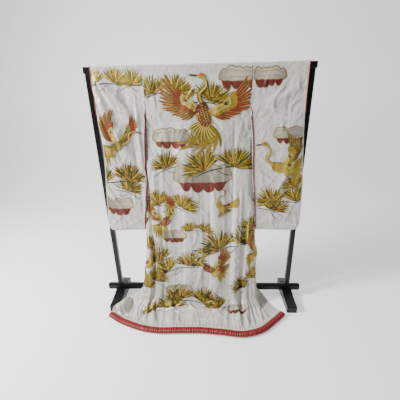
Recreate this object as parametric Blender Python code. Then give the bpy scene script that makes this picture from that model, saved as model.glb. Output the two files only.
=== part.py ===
"""A wedding over-kimono spread over a lacquered kimono stand, seen from its back.

Metres, +Z up. The viewer stands at -Y and +X is to the viewer's right. Every piece is worked out
about the stand, with y = 0 in the plane of the two posts, and is then moved back by STAND_Y, which
puts the origin on the floor under the middle of the whole thing.

The garment is one smooth surface, worked out from a table of sections and a table of folds. That
surface is cut along its seams into the pieces a maker sews, and each piece is given its wall.
"""
import math

import bmesh
import bpy
import numpy as np

# Frame and gaps
STAND_Y = 0.145
SEAM_GAP = 0.0003
# A seam point with this many neighbours or more is drawn back by several gaps, not by half a one.
CROWDED = 5
CROWDED_GAPS = 6.0
REST_GAP = 0.0005
WALL = 0.003

# Stand
BAR_Z = 1.712
BAR_HALF = 0.706
BAR_DEEP = 0.034
BAR_TALL = 0.038
POST_X = 0.680
POST_SIDE = 0.034
RAIL_Z = 0.094
RAIL_HALF = 0.784
RAIL_DEEP = 0.036
RAIL_TALL = 0.052
FOOT_WIDE = 0.075
FOOT_FRONT = -0.1935
FOOT_BACK = 0.139
# One row for each corner of a foot's side outline, from the toe's top back to the heel.
FOOT_TOP = (
    # y, z
    (FOOT_FRONT, 0.055),
    (-0.120, 0.059),
    (-0.060, 0.067),
    (-RAIL_DEEP / 2 - SEAM_GAP, 0.080),
    (-RAIL_DEEP / 2 - SEAM_GAP, RAIL_Z - RAIL_TALL / 2 - SEAM_GAP),
    (RAIL_DEEP / 2 + SEAM_GAP, RAIL_Z - RAIL_TALL / 2 - SEAM_GAP),
    (RAIL_DEEP / 2 + SEAM_GAP, 0.088),
    (0.075, 0.086),
    (FOOT_BACK, 0.072),
)

# Garment, flat sizes of one half
GARMENT_X = -0.007
SHOULDER_HALF = 0.334
BACK_HEM = 0.310
FRONT_HEM = 0.255
OVERLAP_HEM = 0.155
COLLAR_WIDE = 0.055
COLLAR_END = 1.020
COLLAR_DROP = 0.058
COLLAR_LEAN = 0.001
TOP_DOWN = 0.030
TOP_Z = BAR_Z + BAR_TALL / 2 + REST_GAP + WALL / 2
LEAF_Y = BAR_DEEP / 2 + REST_GAP + WALL / 2
FOLD_ROUND = 0.0070
LANDING = 1.745
HEM_DOWN = 2.020
LOW_SPREAD = {-1: 0.050, 1: -0.045}
SPREAD_FROM = 1.250
SPREAD_OVER = 0.450

# Columns across the cloth, between one seam and the next
BACK_COLUMNS = 12
NECK_COLUMNS = 3
FRONT_COLUMNS = BACK_COLUMNS - NECK_COLUMNS
OVERLAP_COLUMNS = 5
COLLAR_COLUMNS = 2

# One row for each section of the hanging cloth. down is measured along the centre back from the
# shoulder. centre, seam, side, join and edge are where the section has its centre back, its side
# seam, its outermost fold, the seam of front and overlap, and the overlap's free edge.
SECTIONS = (
    # down, z, centre_y, seam_x, seam_y, slit, side_x, side_y, join_x, join_y, edge_x, edge_y
    (0.030, 1.705, -0.0190, 0.334, -0.0190, 0.0380, 0.330, 0.0190, 0.0835, 0.0190, 0.0835, 0.0190),
    (0.235, 1.500, -0.0270, 0.334, -0.0260, 0.0520, 0.330, 0.0260, 0.0850, 0.0270, 0.0850, 0.0270),
    (0.375, 1.360, -0.0340, 0.338, -0.0120, 0.0000, 0.346, 0.0040, 0.0950, 0.0300, 0.0950, 0.0300),
    (0.635, 1.100, -0.0420, 0.339, -0.0300, 0.0000, 0.363, -0.0040, 0.1500, 0.0290, 0.0900, 0.0280),
    (0.935, 0.800, -0.0520, 0.336, -0.0440, 0.0000, 0.385, -0.0140, 0.2400, 0.0200, 0.1350, 0.0200),
    (1.235, 0.500, -0.0660, 0.333, -0.0600, 0.0000, 0.408, -0.0320, 0.3300, 0.0020, 0.2200, 0.0060),
    (1.455, 0.280, -0.0840, 0.331, -0.0800, 0.0000, 0.428, -0.0580, 0.3960, -0.0220, 0.3180, -0.0120),
    (1.590, 0.150, -0.1000, 0.334, -0.1000, 0.0000, 0.444, -0.0820, 0.4460, -0.0480, 0.4120, -0.0240),
    (1.640, 0.100, -0.1100, 0.337, -0.1110, 0.0000, 0.452, -0.0940, 0.4660, -0.0620, 0.4620, -0.0250),
    (1.680, 0.064, -0.1220, 0.340, -0.1230, 0.0000, 0.460, -0.1050, 0.4840, -0.0740, 0.4980, -0.0300),
    (LANDING, 0.014, -0.1600, 0.346, -0.1580, 0.0000, 0.480, -0.1350, 0.5160, -0.1000, 0.5440, -0.0560),
)
TIP_DOWN = 0.375
CLOSED_DOWN = 0.375
ARMHOLE_DOWN = 0.235
HANGING_ROWS = (
    0.030, 0.130, 0.235, 0.305, 0.375, 0.500, 0.635, 0.780, 0.935,
    1.085, 1.235, 1.350, 1.455, 1.530, 1.590, 1.640, 1.680, 1.715,
)
FLOOR_ROWS = (0.00, 0.12, 0.28, 0.46, 0.64, 0.80, 0.92, 1.00)

# One row for each station of the padded roll's centre line on the floor, out from centre back.
HEM_LINE = (
    # along, left x, left y, right x, right y
    (0.000, 0.000, -0.377, 0.000, -0.377),
    (0.150, 0.150, -0.379, 0.150, -0.391),
    (0.310, 0.310, -0.382, 0.312, -0.405),
    (0.420, 0.416, -0.364, 0.422, -0.372),
    (0.565, 0.552, -0.315, 0.530, -0.288),
    (0.720, 0.694, -0.245, 0.618, -0.209),
)
# The roll's left end is lifted where the cloth goes over the foot's toe.
END_LIFT = 0.014
LIFT_FROM = 0.600
# The train rises to the roll over the last part of its way, and over the left foot's toe.
RISE_FROM = 0.72
TOE_X = 0.560
TOE_BLEND_X = 0.045
TOE_Y = -0.2255
TOE_BLEND_Y = 0.018
TOE_TOP = 0.061
ROLL_HALF = 0.0245
ROLL_TALL = 0.036
ROLL_SIDES = 10
GATHERS = 44
GATHER_DEEP = 0.0016
# Where the rings of the roll's rounded ends stand, as parts of its half width.
NOSE_STEPS = (0.40, 0.72, 0.93, 0.999)
# The roll's underside is flat between the two ring points at this angle.
FLAT_ANGLE = 0.4 * math.pi

# One row for each large fold. along is measured out from centre back at the hem, to the right.
FOLDS = (
    # along, half width, height, from down, to down
    (-0.345, 0.020, -0.014, 0.70, 1.72),
    (-0.290, 0.026, 0.010, 0.60, 1.74),
    (-0.395, 0.028, 0.010, 0.80, 1.80),
    (-0.160, 0.034, -0.008, 0.35, 1.55),
    (-0.085, 0.034, 0.007, 0.45, 1.70),
    (0.030, 0.030, -0.006, 0.80, 1.65),
    (0.105, 0.034, 0.008, 0.40, 1.74),
    (0.190, 0.034, -0.008, 0.55, 1.60),
    (0.240, 0.024, 0.012, 0.90, 1.78),
    (0.292, 0.020, -0.018, 1.05, 1.76),
    (0.345, 0.026, 0.012, 0.85, 1.80),
    (-0.340, 0.026, 0.024, 1.70, 1.96),
    (-0.205, 0.034, 0.020, 1.70, 1.97),
    (-0.060, 0.026, 0.010, 1.72, 1.95),
    (0.120, 0.034, 0.012, 1.70, 1.96),
    (0.262, 0.022, 0.018, 1.70, 1.98),
    (0.340, 0.022, 0.016, 1.72, 1.99),
    (0.470, 0.026, 0.013, 1.70, 1.98),
    (-0.500, 0.028, 0.012, 1.72, 1.97),
)
# Soft flutes where the fronts hang gathered behind, the same on both sides.
FLUTES = (
    # along, half width, height, from down, to down
    (0.455, 0.020, 0.011, 0.50, 1.36),
    (0.503, 0.020, -0.010, 0.50, 1.34),
    (0.551, 0.020, 0.010, 0.55, 1.34),
    (0.600, 0.020, -0.009, 0.65, 1.32),
    (0.650, 0.020, 0.008, 0.70, 1.32),
)
FOLD_FADE = 0.120
# How far the low cloth keeps clear of the rail, above it and in front of it.
RAIL_CLEAR_Z = 0.015
RAIL_CLEAR_Y = 0.002

# Sleeve, one row for each height: where its outer edge lies from the stand's middle, and how its
# two walls stand about their middle at the inner edge and at the outer one.
SLEEVE_LONG = 1.106
SLEEVE_CORNER = 0.050
CUFF_DOWN = 0.300
SLEEVE_COLUMNS = (0.0, 0.14, 0.28, 0.42, 0.56, 0.70, 0.82, 0.92, 0.97, 1.0)
SLEEVE_ROWS = (
    0.030, 0.045, 0.130, 0.235, 0.300, 0.400, 0.520, 0.640, 0.760, 0.880, 0.970, 1.040, 1.082, 1.100,
)
SLEEVE_BOTTOM_ROUND = 0.030
SLEEVE = (
    # down, left outer x, right outer x, inner mid y, inner half, outer mid y, outer half
    (0.030, 0.6560, 0.6560, 0.0000, 0.0190, 0.0000, 0.0190),
    (0.045, 0.6560, 0.6560, 0.0000, 0.0193, -0.0005, 0.0190),
    (0.130, 0.6550, 0.6560, 0.0000, 0.0225, -0.0055, 0.0155),
    (0.235, 0.6520, 0.6560, 0.0000, 0.0260, -0.0190, 0.0090),
    (0.300, 0.6480, 0.6570, -0.0005, 0.0255, -0.0290, 0.0045),
    (0.500, 0.6420, 0.6700, -0.0030, 0.0240, -0.0300, 0.0045),
    (0.800, 0.6630, 0.6960, -0.0070, 0.0220, -0.0310, 0.0045),
    (1.106, 0.6880, 0.7060, -0.0120, 0.0180, -0.0310, 0.0045),
)
SLIT_WIDE = {-1: 0.0100, 1: 0.0130}
SLIT_OPENS_OVER = 0.065
# One row for each slanting fold of a sleeve's back wall.
SLEEVE_FOLDS = {
    -1: (
        # from x, from z, to x, to z, half width, height
        (0.650, 1.690, 0.400, 1.380, 0.030, 0.013),
        (0.655, 1.640, 0.470, 1.180, 0.028, 0.012),
        (0.640, 1.500, 0.560, 1.050, 0.026, 0.009),
        (0.480, 1.620, 0.380, 1.300, 0.026, -0.007),
    ),
    1: (
        # from x, from z, to x, to z, half width, height
        (0.640, 1.600, 0.400, 1.480, 0.032, 0.006),
        (0.660, 1.250, 0.480, 0.800, 0.034, 0.008),
        (0.680, 0.780, 0.430, 0.690, 0.028, 0.008),
    ),
}
PIPING = 0.0026
PIPING_SIDES = 5

# Colours as the photograph shows them, roughness and metallic value
FINISHES = {
    "satin": ((0.80, 0.79, 0.73), 0.35, 0.0),
    "red_silk": ((0.55, 0.02, 0.02), 0.45, 0.0),
    "lacquer": ((0.008, 0.008, 0.009), 0.22, 0.0),
}


def ease(x):
    """Zero below 0, one above 1, and a smooth step between."""
    x = np.clip(x, 0.0, 1.0)
    return x * x * (3.0 - 2.0 * x)


def flow(knots, values, at):
    """A smooth curve through a table's rows: cubics whose slope at a row is its neighbours' mean."""
    knots = np.asarray(knots, float)
    values = np.asarray(values, float)
    at = np.clip(np.asarray(at, float), knots[0], knots[-1])
    steps = np.diff(knots)
    shape = (-1,) + (1,) * (values.ndim - 1)
    rises = np.diff(values, axis=0) / steps.reshape(shape)
    before = steps[:-1].reshape(shape)
    after = steps[1:].reshape(shape)
    inner = (rises[:-1] * after + rises[1:] * before) / (before + after)
    slopes = np.concatenate([rises[:1], inner, rises[-1:]])
    cell = np.clip(np.searchsorted(knots, at, side="right") - 1, 0, len(steps) - 1)
    wide = steps[cell]
    t = (at - knots[cell]) / wide
    over = t.shape + (1,) * (values.ndim - 1)
    t = t.reshape(over)
    wide = wide.reshape(over)
    start = (1 + 2 * t) * (1 - t) ** 2 * values[cell]
    end = t * t * (3 - 2 * t) * values[cell + 1]
    lean = t * (1 - t) ** 2 * wide * slopes[cell] - t * t * (1 - t) * wide * slopes[cell + 1]
    return start + end + lean


def evenly(points, count):
    """count + 1 points at equal distances along a smooth curve through the given points."""
    points = np.asarray(points, float)
    chords = np.maximum(np.linalg.norm(np.diff(points, axis=0), axis=1), 1e-4)
    knots = np.concatenate([[0.0], np.cumsum(chords)])
    dense = flow(knots, points, np.linspace(0.0, knots[-1], 160))
    run = np.concatenate([[0.0], np.cumsum(np.linalg.norm(np.diff(dense, axis=0), axis=1))])
    wanted = np.linspace(0.0, run[-1], count + 1)
    return np.stack([np.interp(wanted, run, dense[:, axis]) for axis in range(points.shape[1])], 1)


def over_bar(count_side=2):
    """The (y, z) path of the cloth's middle from the bar's front face over it to its rear face."""
    quarter = np.linspace(0.0, math.pi / 2, count_side + 1)
    y = LEAF_Y - FOLD_ROUND + FOLD_ROUND * np.cos(quarter)
    z = TOP_Z - FOLD_ROUND + FOLD_ROUND * np.sin(quarter)
    front = np.stack([-y, z], 1)
    rear = np.stack([y, z], 1)[::-1]
    return np.concatenate([front, [[0.0, TOP_Z]], rear])


def vertex_normals(points, faces):
    """Unit normals at the points, each the sum of its faces' normals."""
    normals = np.zeros_like(points)
    for face in faces:
        ring = points[list(face)]
        middle = ring.mean(0)
        turned = np.cross(ring - middle, np.roll(ring, -1, axis=0) - middle).sum(0)
        normals[list(face)] += turned / (np.linalg.norm(turned) + 1e-12)
    return normals / (np.linalg.norm(normals, axis=1, keepdims=True) + 1e-12)


def thick(points, faces, normals, wall=WALL):
    """The closed wall about an open sheet: both faces and a rim along every free edge."""
    count = len(points)
    both = np.concatenate([points + normals * wall / 2, points - normals * wall / 2])
    sides = set()
    for face in faces:
        sides.update(zip(face, face[1:] + face[:1]))
    solid = [tuple(face) for face in faces]
    solid += [tuple(corner + count for corner in reversed(face)) for face in faces]
    for a, b in sorted(sides):
        if (b, a) in sides:
            continue
        # The rim's quads are split from the lower number, so both sides of a seam split alike.
        if a < b:
            solid += [(b, a, b + count), (a, a + count, b + count)]
        else:
            solid += [(b, a, a + count), (b, a + count, b + count)]
    return both, solid


def material(name):
    """The named material, made once."""
    colour, roughness, metallic = FINISHES[name]
    found = bpy.data.materials.get(name)
    if found:
        return found
    made = bpy.data.materials.new(name)
    made.use_nodes = True
    shader = made.node_tree.nodes["Principled BSDF"]
    shader.inputs["Base Color"].default_value = (*colour, 1.0)
    shader.inputs["Roughness"].default_value = roughness
    shader.inputs["Metallic"].default_value = metallic
    made.diffuse_color = (*colour, 1.0)
    return made


def place(name, points, faces, finish):
    """A named object from points about the stand, moved back to the origin's place."""
    mesh = bpy.data.meshes.new(name)
    moved = np.asarray(points, float) + (0.0, STAND_Y, 0.0)
    mesh.from_pydata(moved.tolist(), [], [list(face) for face in faces])
    mesh.materials.append(material(finish))
    mesh.shade_smooth()
    mesh.set_sharp_from_angle(angle=math.radians(50))
    made = bpy.data.objects.new(name, mesh)
    bpy.context.scene.collection.objects.link(made)
    return made


def box(name, size, centre, edge, finish="lacquer"):
    """A bar of wood with softened edges."""
    mesh = bpy.data.meshes.new(name)
    work = bmesh.new()
    bmesh.ops.create_cube(work, size=1.0)
    bmesh.ops.scale(work, vec=size, verts=work.verts)
    work.to_mesh(mesh)
    work.free()
    mesh.materials.append(material(finish))
    made = bpy.data.objects.new(name, mesh)
    made.location = (centre[0], centre[1] + STAND_Y, centre[2])
    bpy.context.scene.collection.objects.link(made)
    soft = made.modifiers.new("soft_edges", "BEVEL")
    soft.width = edge
    soft.segments = 2
    return made


def foot(name, side):
    """One foot: its side outline, with the notch that the rail lies in, drawn out sideways."""
    outline = [(FOOT_BACK, 0.0)] + [(FOOT_FRONT, 0.0)] + list(FOOT_TOP)
    mesh = bpy.data.meshes.new(name)
    work = bmesh.new()
    ring = [work.verts.new((-FOOT_WIDE / 2, y, z)) for y, z in outline]
    face = work.faces.new(ring)
    drawn = bmesh.ops.extrude_face_region(work, geom=[face])
    moved = [item for item in drawn["geom"] if isinstance(item, bmesh.types.BMVert)]
    bmesh.ops.translate(work, vec=(FOOT_WIDE, 0.0, 0.0), verts=moved)
    bmesh.ops.recalc_face_normals(work, faces=work.faces)
    work.to_mesh(mesh)
    work.free()
    mesh.materials.append(material("lacquer"))
    made = bpy.data.objects.new(name, mesh)
    made.location = (side * POST_X, STAND_Y, 0.0)
    bpy.context.scene.collection.objects.link(made)
    soft = made.modifiers.new("soft_edges", "BEVEL")
    soft.width = 0.003
    soft.segments = 1
    soft.limit_method = "ANGLE"
    soft.angle_limit = math.radians(40)
    return made


def section(down, side):
    """One hanging row: back from centre to side seam, then front, overlap and collar inwards."""
    table = np.array(SECTIONS)
    (z, centre_y, seam_x, seam_y, slit, side_x, side_y, join_x, join_y, edge_x, edge_y) = flow(
        table[:, 0], table[:, 1:], [down]
    )[0]
    slit = max(slit, 0.0) if down < CLOSED_DOWN else 0.0
    if down <= TIP_DOWN:
        edge_x, edge_y = join_x, join_y
    out = np.linspace(0.0, 1.0, BACK_COLUMNS + 1)
    back = np.stack([seam_x * out, centre_y + (seam_y - centre_y) * out ** 2], 1)
    start = (seam_x, seam_y + slit)
    turn = (side_x - 0.25 * (side_x - join_x), 0.35 * side_y + 0.65 * join_y)
    front = evenly([start, (side_x, side_y), turn, (join_x, join_y)], FRONT_COLUMNS)
    if down <= TOP_DOWN:
        flat = np.linspace(SHOULDER_HALF, SHOULDER_HALF * NECK_COLUMNS / BACK_COLUMNS, FRONT_COLUMNS + 1)
        front = np.stack([flat, np.full_like(flat, join_y)], 1)
    overlap = np.linspace(front[-1], (edge_x, edge_y), OVERLAP_COLUMNS + 1)[1:]
    collar = np.linspace((edge_x, edge_y), (edge_x - COLLAR_WIDE, edge_y), COLLAR_COLUMNS + 1)[1:]
    row = np.concatenate([back, front, overlap, collar])
    spread = 1.0 + LOW_SPREAD[side] * ease((down - SPREAD_FROM) / SPREAD_OVER)
    heights = np.full(len(row), z)
    droop = COLLAR_DROP * ease(1.0 - down / CLOSED_DOWN)
    heights[-COLLAR_COLUMNS:] -= droop * np.linspace(0.0, 1.0, COLLAR_COLUMNS + 1)[1:]
    return np.stack([side * row[:, 0] * spread, row[:, 1], heights], 1)


def along_hem():
    """How far out from centre back each column meets the hem."""
    back = np.linspace(0.0, BACK_HEM, BACK_COLUMNS + 1)
    front = np.linspace(BACK_HEM, BACK_HEM + FRONT_HEM, FRONT_COLUMNS + 1)
    overlap = np.linspace(front[-1], front[-1] + OVERLAP_HEM, OVERLAP_COLUMNS + 1)[1:]
    collar = np.linspace(overlap[-1], overlap[-1] + COLLAR_WIDE, COLLAR_COLUMNS + 1)[1:]
    return np.concatenate([back, front, overlap, collar])


def hem_line(along, side):
    """Points of the padded roll's centre line, and the level unit vector there towards the cloth."""
    table = np.array(HEM_LINE)
    columns = table[:, 1:3] if side < 0 else table[:, 3:5]
    level = flow(table[:, 0], columns, along)
    step = 1e-3
    ahead = flow(table[:, 0], columns, np.minimum(along + step, table[-1, 0]))
    behind = flow(table[:, 0], columns, np.maximum(along - step, 0.0))
    tangent = ahead - behind
    tangent /= np.linalg.norm(tangent, axis=1, keepdims=True)
    inward = np.stack([-tangent[:, 1], tangent[:, 0]], 1)
    lift = END_LIFT * ease((along - LIFT_FROM) / (table[-1, 0] - LIFT_FROM)) * (side < 0)
    points = np.column_stack([side * level[:, 0], level[:, 1], ROLL_TALL / 2 + lift])
    inward[:, 0] *= side
    return points, inward


def lying_height(x, y, share, hem_z):
    """How high the train's middle lies: flat, up to the roll at the hem, and over the left toe."""
    ground = WALL / 2 + REST_GAP
    high = ground + (hem_z - ground) * ease((share - RISE_FROM) / (1.0 - RISE_FROM))
    over_toe = ease((-x - TOE_X) / TOE_BLEND_X) * ease((y - TOE_Y) / TOE_BLEND_Y)
    toe_top = TOE_TOP + REST_GAP + WALL / 2
    return high + np.maximum(toe_top - high, 0.0) * over_toe


def body_points(side):
    """All rows of one half, from the shoulder down to the landing and out to the hem."""
    rows = [section(down, side) for down in HANGING_ROWS]
    landing = section(LANDING, side)
    hem, inward = hem_line(np.minimum(along_hem(), HEM_LINE[-1][0]), side)
    hem_edge = hem[:, :2] + inward * (ROLL_HALF + SEAM_GAP)
    for share in FLOOR_ROWS:
        level = landing[:, :2] + (hem_edge - landing[:, :2]) * share
        lying = lying_height(level[:, 0], level[:, 1], share, hem[:, 2])
        settle = 1.0 - ease(share / 0.12)
        height = lying + (landing[:, 2] - lying) * settle
        rows.append(np.column_stack([level, height]))
    return np.array(rows)


def row_downs():
    """How far down the cloth each row lies, from the shoulder to the hem."""
    floor = [LANDING + share * (HEM_DOWN - LANDING) for share in FLOOR_ROWS]
    return np.array(list(HANGING_ROWS) + floor)


def fold_heights(along, down, table):
    """The folds' height at each point: a soft ridge or trough for each row of the table."""
    total = np.zeros_like(along)
    for place_along, half, height, start, end in table:
        across = np.exp(-(((along - place_along) / half) ** 2))
        shown = ease((down - start) / FOLD_FADE + 0.5) * ease((end - down) / FOLD_FADE + 0.5)
        total += height * across * shown
    return total


class Garment:
    """The whole garment as one surface, with a name on each face for the piece it belongs to."""

    def __init__(self):
        self.points = []
        self.along = []
        self.down = []
        self.faces = {}
        self.seams = {}

    def add(self, point, along, down):
        """Keeps a point with its place in the cloth, and gives its number."""
        self.points.append(point)
        self.along.append(along)
        self.down.append(down)
        return len(self.points) - 1

    def cell(self, piece, corners, side):
        """Gives a piece one face, left out where its corners have run together."""
        ring = []
        for corner in corners:
            if not ring or corner != ring[-1]:
                ring.append(corner)
        if ring[0] == ring[-1]:
            ring.pop()
        if len(set(ring)) < 3:
            return
        self.faces.setdefault(piece, []).append(tuple(ring if side > 0 else reversed(ring)))

    def seam(self, piece, corners):
        """Marks points of a piece that lie on its seams."""
        self.seams.setdefault(piece, set()).update(corners)


def grid_cells(garment, piece, ids, side):
    """Gives a piece the faces between the rows and columns of a grid of point numbers."""
    for row in range(ids.shape[0] - 1):
        for column in range(ids.shape[1] - 1):
            corners = (
                ids[row, column], ids[row + 1, column], ids[row + 1, column + 1], ids[row, column + 1]
            )
            garment.cell(piece, [int(corner) for corner in corners], side)


def lay_out(garment):
    """Number every point of both halves and name the faces of each piece."""
    downs = row_downs()
    along = along_hem()
    back_count = BACK_COLUMNS + 1
    overlap_first = back_count + FRONT_COLUMNS + 1
    overlap_last = back_count + FRONT_COLUMNS + OVERLAP_COLUMNS
    centre = {}
    arc = over_bar()
    neck_top = {}
    for side in (-1, 1):
        hand = "left" if side < 0 else "right"
        grid = body_points(side)
        ids = np.zeros(grid.shape[:2], int)
        for row, down in enumerate(downs):
            for column in range(grid.shape[1]):
                if column == 0:
                    if row not in centre:
                        centre[row] = garment.add(grid[row, 0], 0.0, down)
                    ids[row, 0] = centre[row]
                elif column == back_count and down >= CLOSED_DOWN:
                    ids[row, column] = ids[row, column - 1]
                elif down <= TIP_DOWN and overlap_first <= column <= overlap_last:
                    ids[row, column] = ids[row, column - 1]
                else:
                    ids[row, column] = garment.add(grid[row, column], side * along[column], down)
        back = ids[:, :back_count]
        front = ids[:, back_count:overlap_first]
        overlap = ids[:, overlap_first - 1:overlap_last + 1]
        collar = ids[:, overlap_last:]
        body = "body_" + hand
        grid_cells(garment, body, back, side)
        grid_cells(garment, body, front, side)

        ridge = np.zeros((len(arc), back_count), int)
        for step, (y, z) in enumerate(arc):
            for column in range(back_count):
                if column == 0:
                    if ("arc", step) not in centre:
                        centre["arc", step] = garment.add((0.0, y, z), 0.0, 0.0)
                    ridge[step, 0] = centre["arc", step]
                else:
                    x = side * SHOULDER_HALF * column / BACK_COLUMNS
                    ridge[step, column] = garment.add((x, y, z), side * along[column], 0.0)
        grid_cells(garment, body, np.concatenate([ridge[::-1], back[:1]]), side)
        rear = np.stack([front[0][::-1], ridge[-1][NECK_COLUMNS:]])
        grid_cells(garment, body, rear, side)

        tip = int(np.searchsorted(downs, TIP_DOWN - 1e-9))
        grid_cells(garment, "overlap_" + hand, overlap[tip:], side)
        last = int(np.searchsorted(downs, COLLAR_END))
        neck = ridge[-1][:NECK_COLUMNS + 1]
        mitre = [int(neck[-1])]
        for column in range(1, COLLAR_COLUMNS + 1):
            share = column / COLLAR_COLUMNS
            x = garment.points[mitre[0]][0] - side * COLLAR_WIDE * share
            spot = (x, arc[-1][0] + COLLAR_LEAN * share, arc[-1][1] - COLLAR_DROP * share)
            mitre.append(garment.add(spot, side * along[overlap_last], 0.0))
        leg = np.concatenate([[mitre], collar[:last]])
        grid_cells(garment, "collar", leg, side)
        band = [neck]
        for layer in range(1, COLLAR_COLUMNS + 1):
            share = layer / COLLAR_COLUMNS
            row = []
            for column in range(NECK_COLUMNS + 1):
                if column == NECK_COLUMNS:
                    row.append(mitre[layer])
                elif column == 0 and ("neck", layer) in neck_top:
                    row.append(neck_top["neck", layer])
                else:
                    x = garment.points[mitre[layer]][0] * column / NECK_COLUMNS
                    spot = (x, arc[-1][0] + COLLAR_LEAN * share, arc[-1][1] - COLLAR_DROP * share)
                    row.append(garment.add(spot, 0.0, 0.0))
                    if column == 0:
                        neck_top["neck", layer] = row[-1]
            band.append(np.array(row))
        grid_cells(garment, "collar", np.array(band)[:, ::-1], side)

        tip_ids = {int(corner) for corner in overlap[tip]}
        join = {int(corner) for corner in front[:, -1]} | {int(corner) for corner in neck}
        edge = {int(corner) for corner in collar[:, 0]} | {int(corner) for corner in neck}
        armhole = {int(corner) for corner in ridge[:, -1]}
        for row, down in enumerate(downs):
            if down <= ARMHOLE_DOWN:
                armhole |= {int(back[row, -1]), int(front[row, 0])}
        middle = {int(corner) for corner in back[:, 0]} | {int(corner) for corner in ridge[:, 0]}
        garment.seam(body, join | armhole | middle)
        garment.seam("overlap_" + hand, join | {int(corner) for corner in overlap[:last, -1]} | tip_ids)
        garment.seam("collar", edge)
    garment.points = np.array(garment.points, float)
    garment.along = np.array(garment.along)
    garment.down = np.array(garment.down)


def settle_folds(garment):
    """Push the surface out and in along its normals where the fold tables say."""
    every = [face for faces in garment.faces.values() for face in faces]
    normals = vertex_normals(garment.points, every)
    height = fold_heights(garment.along, garment.down, FOLDS)
    height += fold_heights(np.abs(garment.along), garment.down, FLUTES)
    moved = garment.points + normals * height[:, None]
    lying = garment.down > LANDING + 0.02
    lifted = garment.points[:, 2] + np.maximum(height, 0.0)
    moved[lying] = np.column_stack([garment.points[lying, :2], lifted[lying]])
    low = moved[:, 2] < RAIL_Z + RAIL_TALL / 2 + RAIL_CLEAR_Z
    moved[low, 1] = np.minimum(moved[low, 1], -RAIL_DEEP / 2 - WALL / 2 - RAIL_CLEAR_Y)
    moved[:, 2] = np.maximum(moved[:, 2], WALL / 2 + REST_GAP)
    garment.points = moved
    return vertex_normals(moved, every)


def cut_piece(garment, normals, piece):
    """One piece of the surface, drawn back from its seams by half the seam gap, with its wall."""
    faces = garment.faces[piece]
    used = sorted({corner for face in faces for corner in face})
    number = {corner: index for index, corner in enumerate(used)}
    near = {corner: set() for corner in used}
    for face in faces:
        for a, b in zip(face, face[1:] + face[:1]):
            near[a].add(b)
            near[b].add(a)
    seams = garment.seams[piece]
    points = garment.points[used].copy()
    for corner in used:
        if corner not in seams:
            continue
        inside = [other for other in near[corner] if other not in seams]
        if not inside:
            inside = list(near[corner])
        pull = garment.points[inside].mean(0) - garment.points[corner]
        span = np.linalg.norm(pull)
        gap = SEAM_GAP * (0.5 if len(near[corner]) < CROWDED else CROWDED_GAPS)
        points[number[corner]] += pull / span * min(gap, span / 3)
    local = [tuple(number[corner] for corner in face) for face in faces]
    return thick(points, local, normals[used])


def loft(rings):
    """A closed solid through rings of points, with flat ends, its faces turned outward."""
    rings = np.asarray(rings, float)
    stations, sides = rings.shape[:2]
    points = rings.reshape(-1, 3)
    faces = []
    for station in range(stations - 1):
        for side in range(sides):
            here = station * sides + side
            there = station * sides + (side + 1) % sides
            faces.append((here, there, there + sides, here + sides))
    faces.append(tuple(reversed(range(sides))))
    faces.append(tuple(range((stations - 1) * sides, stations * sides)))
    volume = 0.0
    for face in faces:
        for second, third in zip(face[1:-1], face[2:]):
            volume += np.dot(points[face[0]], np.cross(points[second], points[third]))
    if volume < 0:
        faces = [tuple(reversed(face)) for face in faces]
    return points, faces


def hem_roll():
    """The padded roll: gathered rings along its centre line, flat below and rounded at its ends."""
    total = HEM_LINE[-1][0]
    count = 4 * GATHERS
    along = np.linspace(-total, total, count + 1)
    nose = total - ROLL_HALF * (1.0 - np.array(NOSE_STEPS))
    along = along[np.abs(along) < nose.min() - 0.004]
    along = np.sort(np.concatenate([-nose, along, nose]))
    left, left_in = hem_line(np.abs(along), -1)
    right, right_in = hem_line(np.abs(along), 1)
    on_left = (along < 0)[:, None]
    centre = np.where(on_left, left, right)
    inward = np.where(on_left, left_in, right_in)
    past = np.clip((np.abs(along) - (total - ROLL_HALF)) / ROLL_HALF, 0.0, 1.0)
    taper = np.sqrt(np.maximum(1.0 - past ** 2, 0.0))
    angle = 2 * math.pi * np.arange(ROLL_SIDES) / ROLL_SIDES
    away = (1.0 - np.cos(angle)) / 2
    pinch = GATHER_DEEP * (0.5 + 0.5 * np.cos(2 * math.pi * along * GATHERS / (2 * total)))
    half = ROLL_HALF * (0.25 + 0.75 * taper)[:, None] - pinch[:, None] * away
    tall = ROLL_TALL / 2 / math.sin(FLAT_ANGLE) * (0.35 + 0.65 * taper)[:, None]
    tall = tall - pinch[:, None] * away / 2
    across = half * np.cos(angle)
    up = tall * np.sin(angle)
    floor = centre[:, 2:3] - ROLL_TALL / 2
    height = centre[:, 2:3] + up
    height = np.where(np.abs(np.sin(angle) + math.sin(FLAT_ANGLE)) < 1e-6, floor, height)
    flat = centre[:, None, :2] + inward[:, None, :] * across[:, :, None]
    return loft(np.concatenate([flat, height[:, :, None]], 2))


def sleeve_halves(downs, out, side):
    """For every row and column of a sleeve: x, and y of its two walls' middle and half spread."""
    table = np.array(SLEEVE)
    rows = flow(table[:, 0], table[:, 1:], downs)
    outer = (rows[:, 0] if side < 0 else rows[:, 1]) - side * GARMENT_X
    blend = ease(out / 0.80)
    middle = rows[:, 2:3] + (rows[:, 4:5] - rows[:, 2:3]) * blend
    half = rows[:, 3:4] + (rows[:, 5:6] - rows[:, 3:4]) * blend
    low = np.clip((downs - (SLEEVE_LONG - SLEEVE_BOTTOM_ROUND)) / SLEEVE_BOTTOM_ROUND, 0.0, 1.0)
    half = half * np.sqrt(1.0 - low ** 2)[:, None]
    return outer, middle, half


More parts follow.
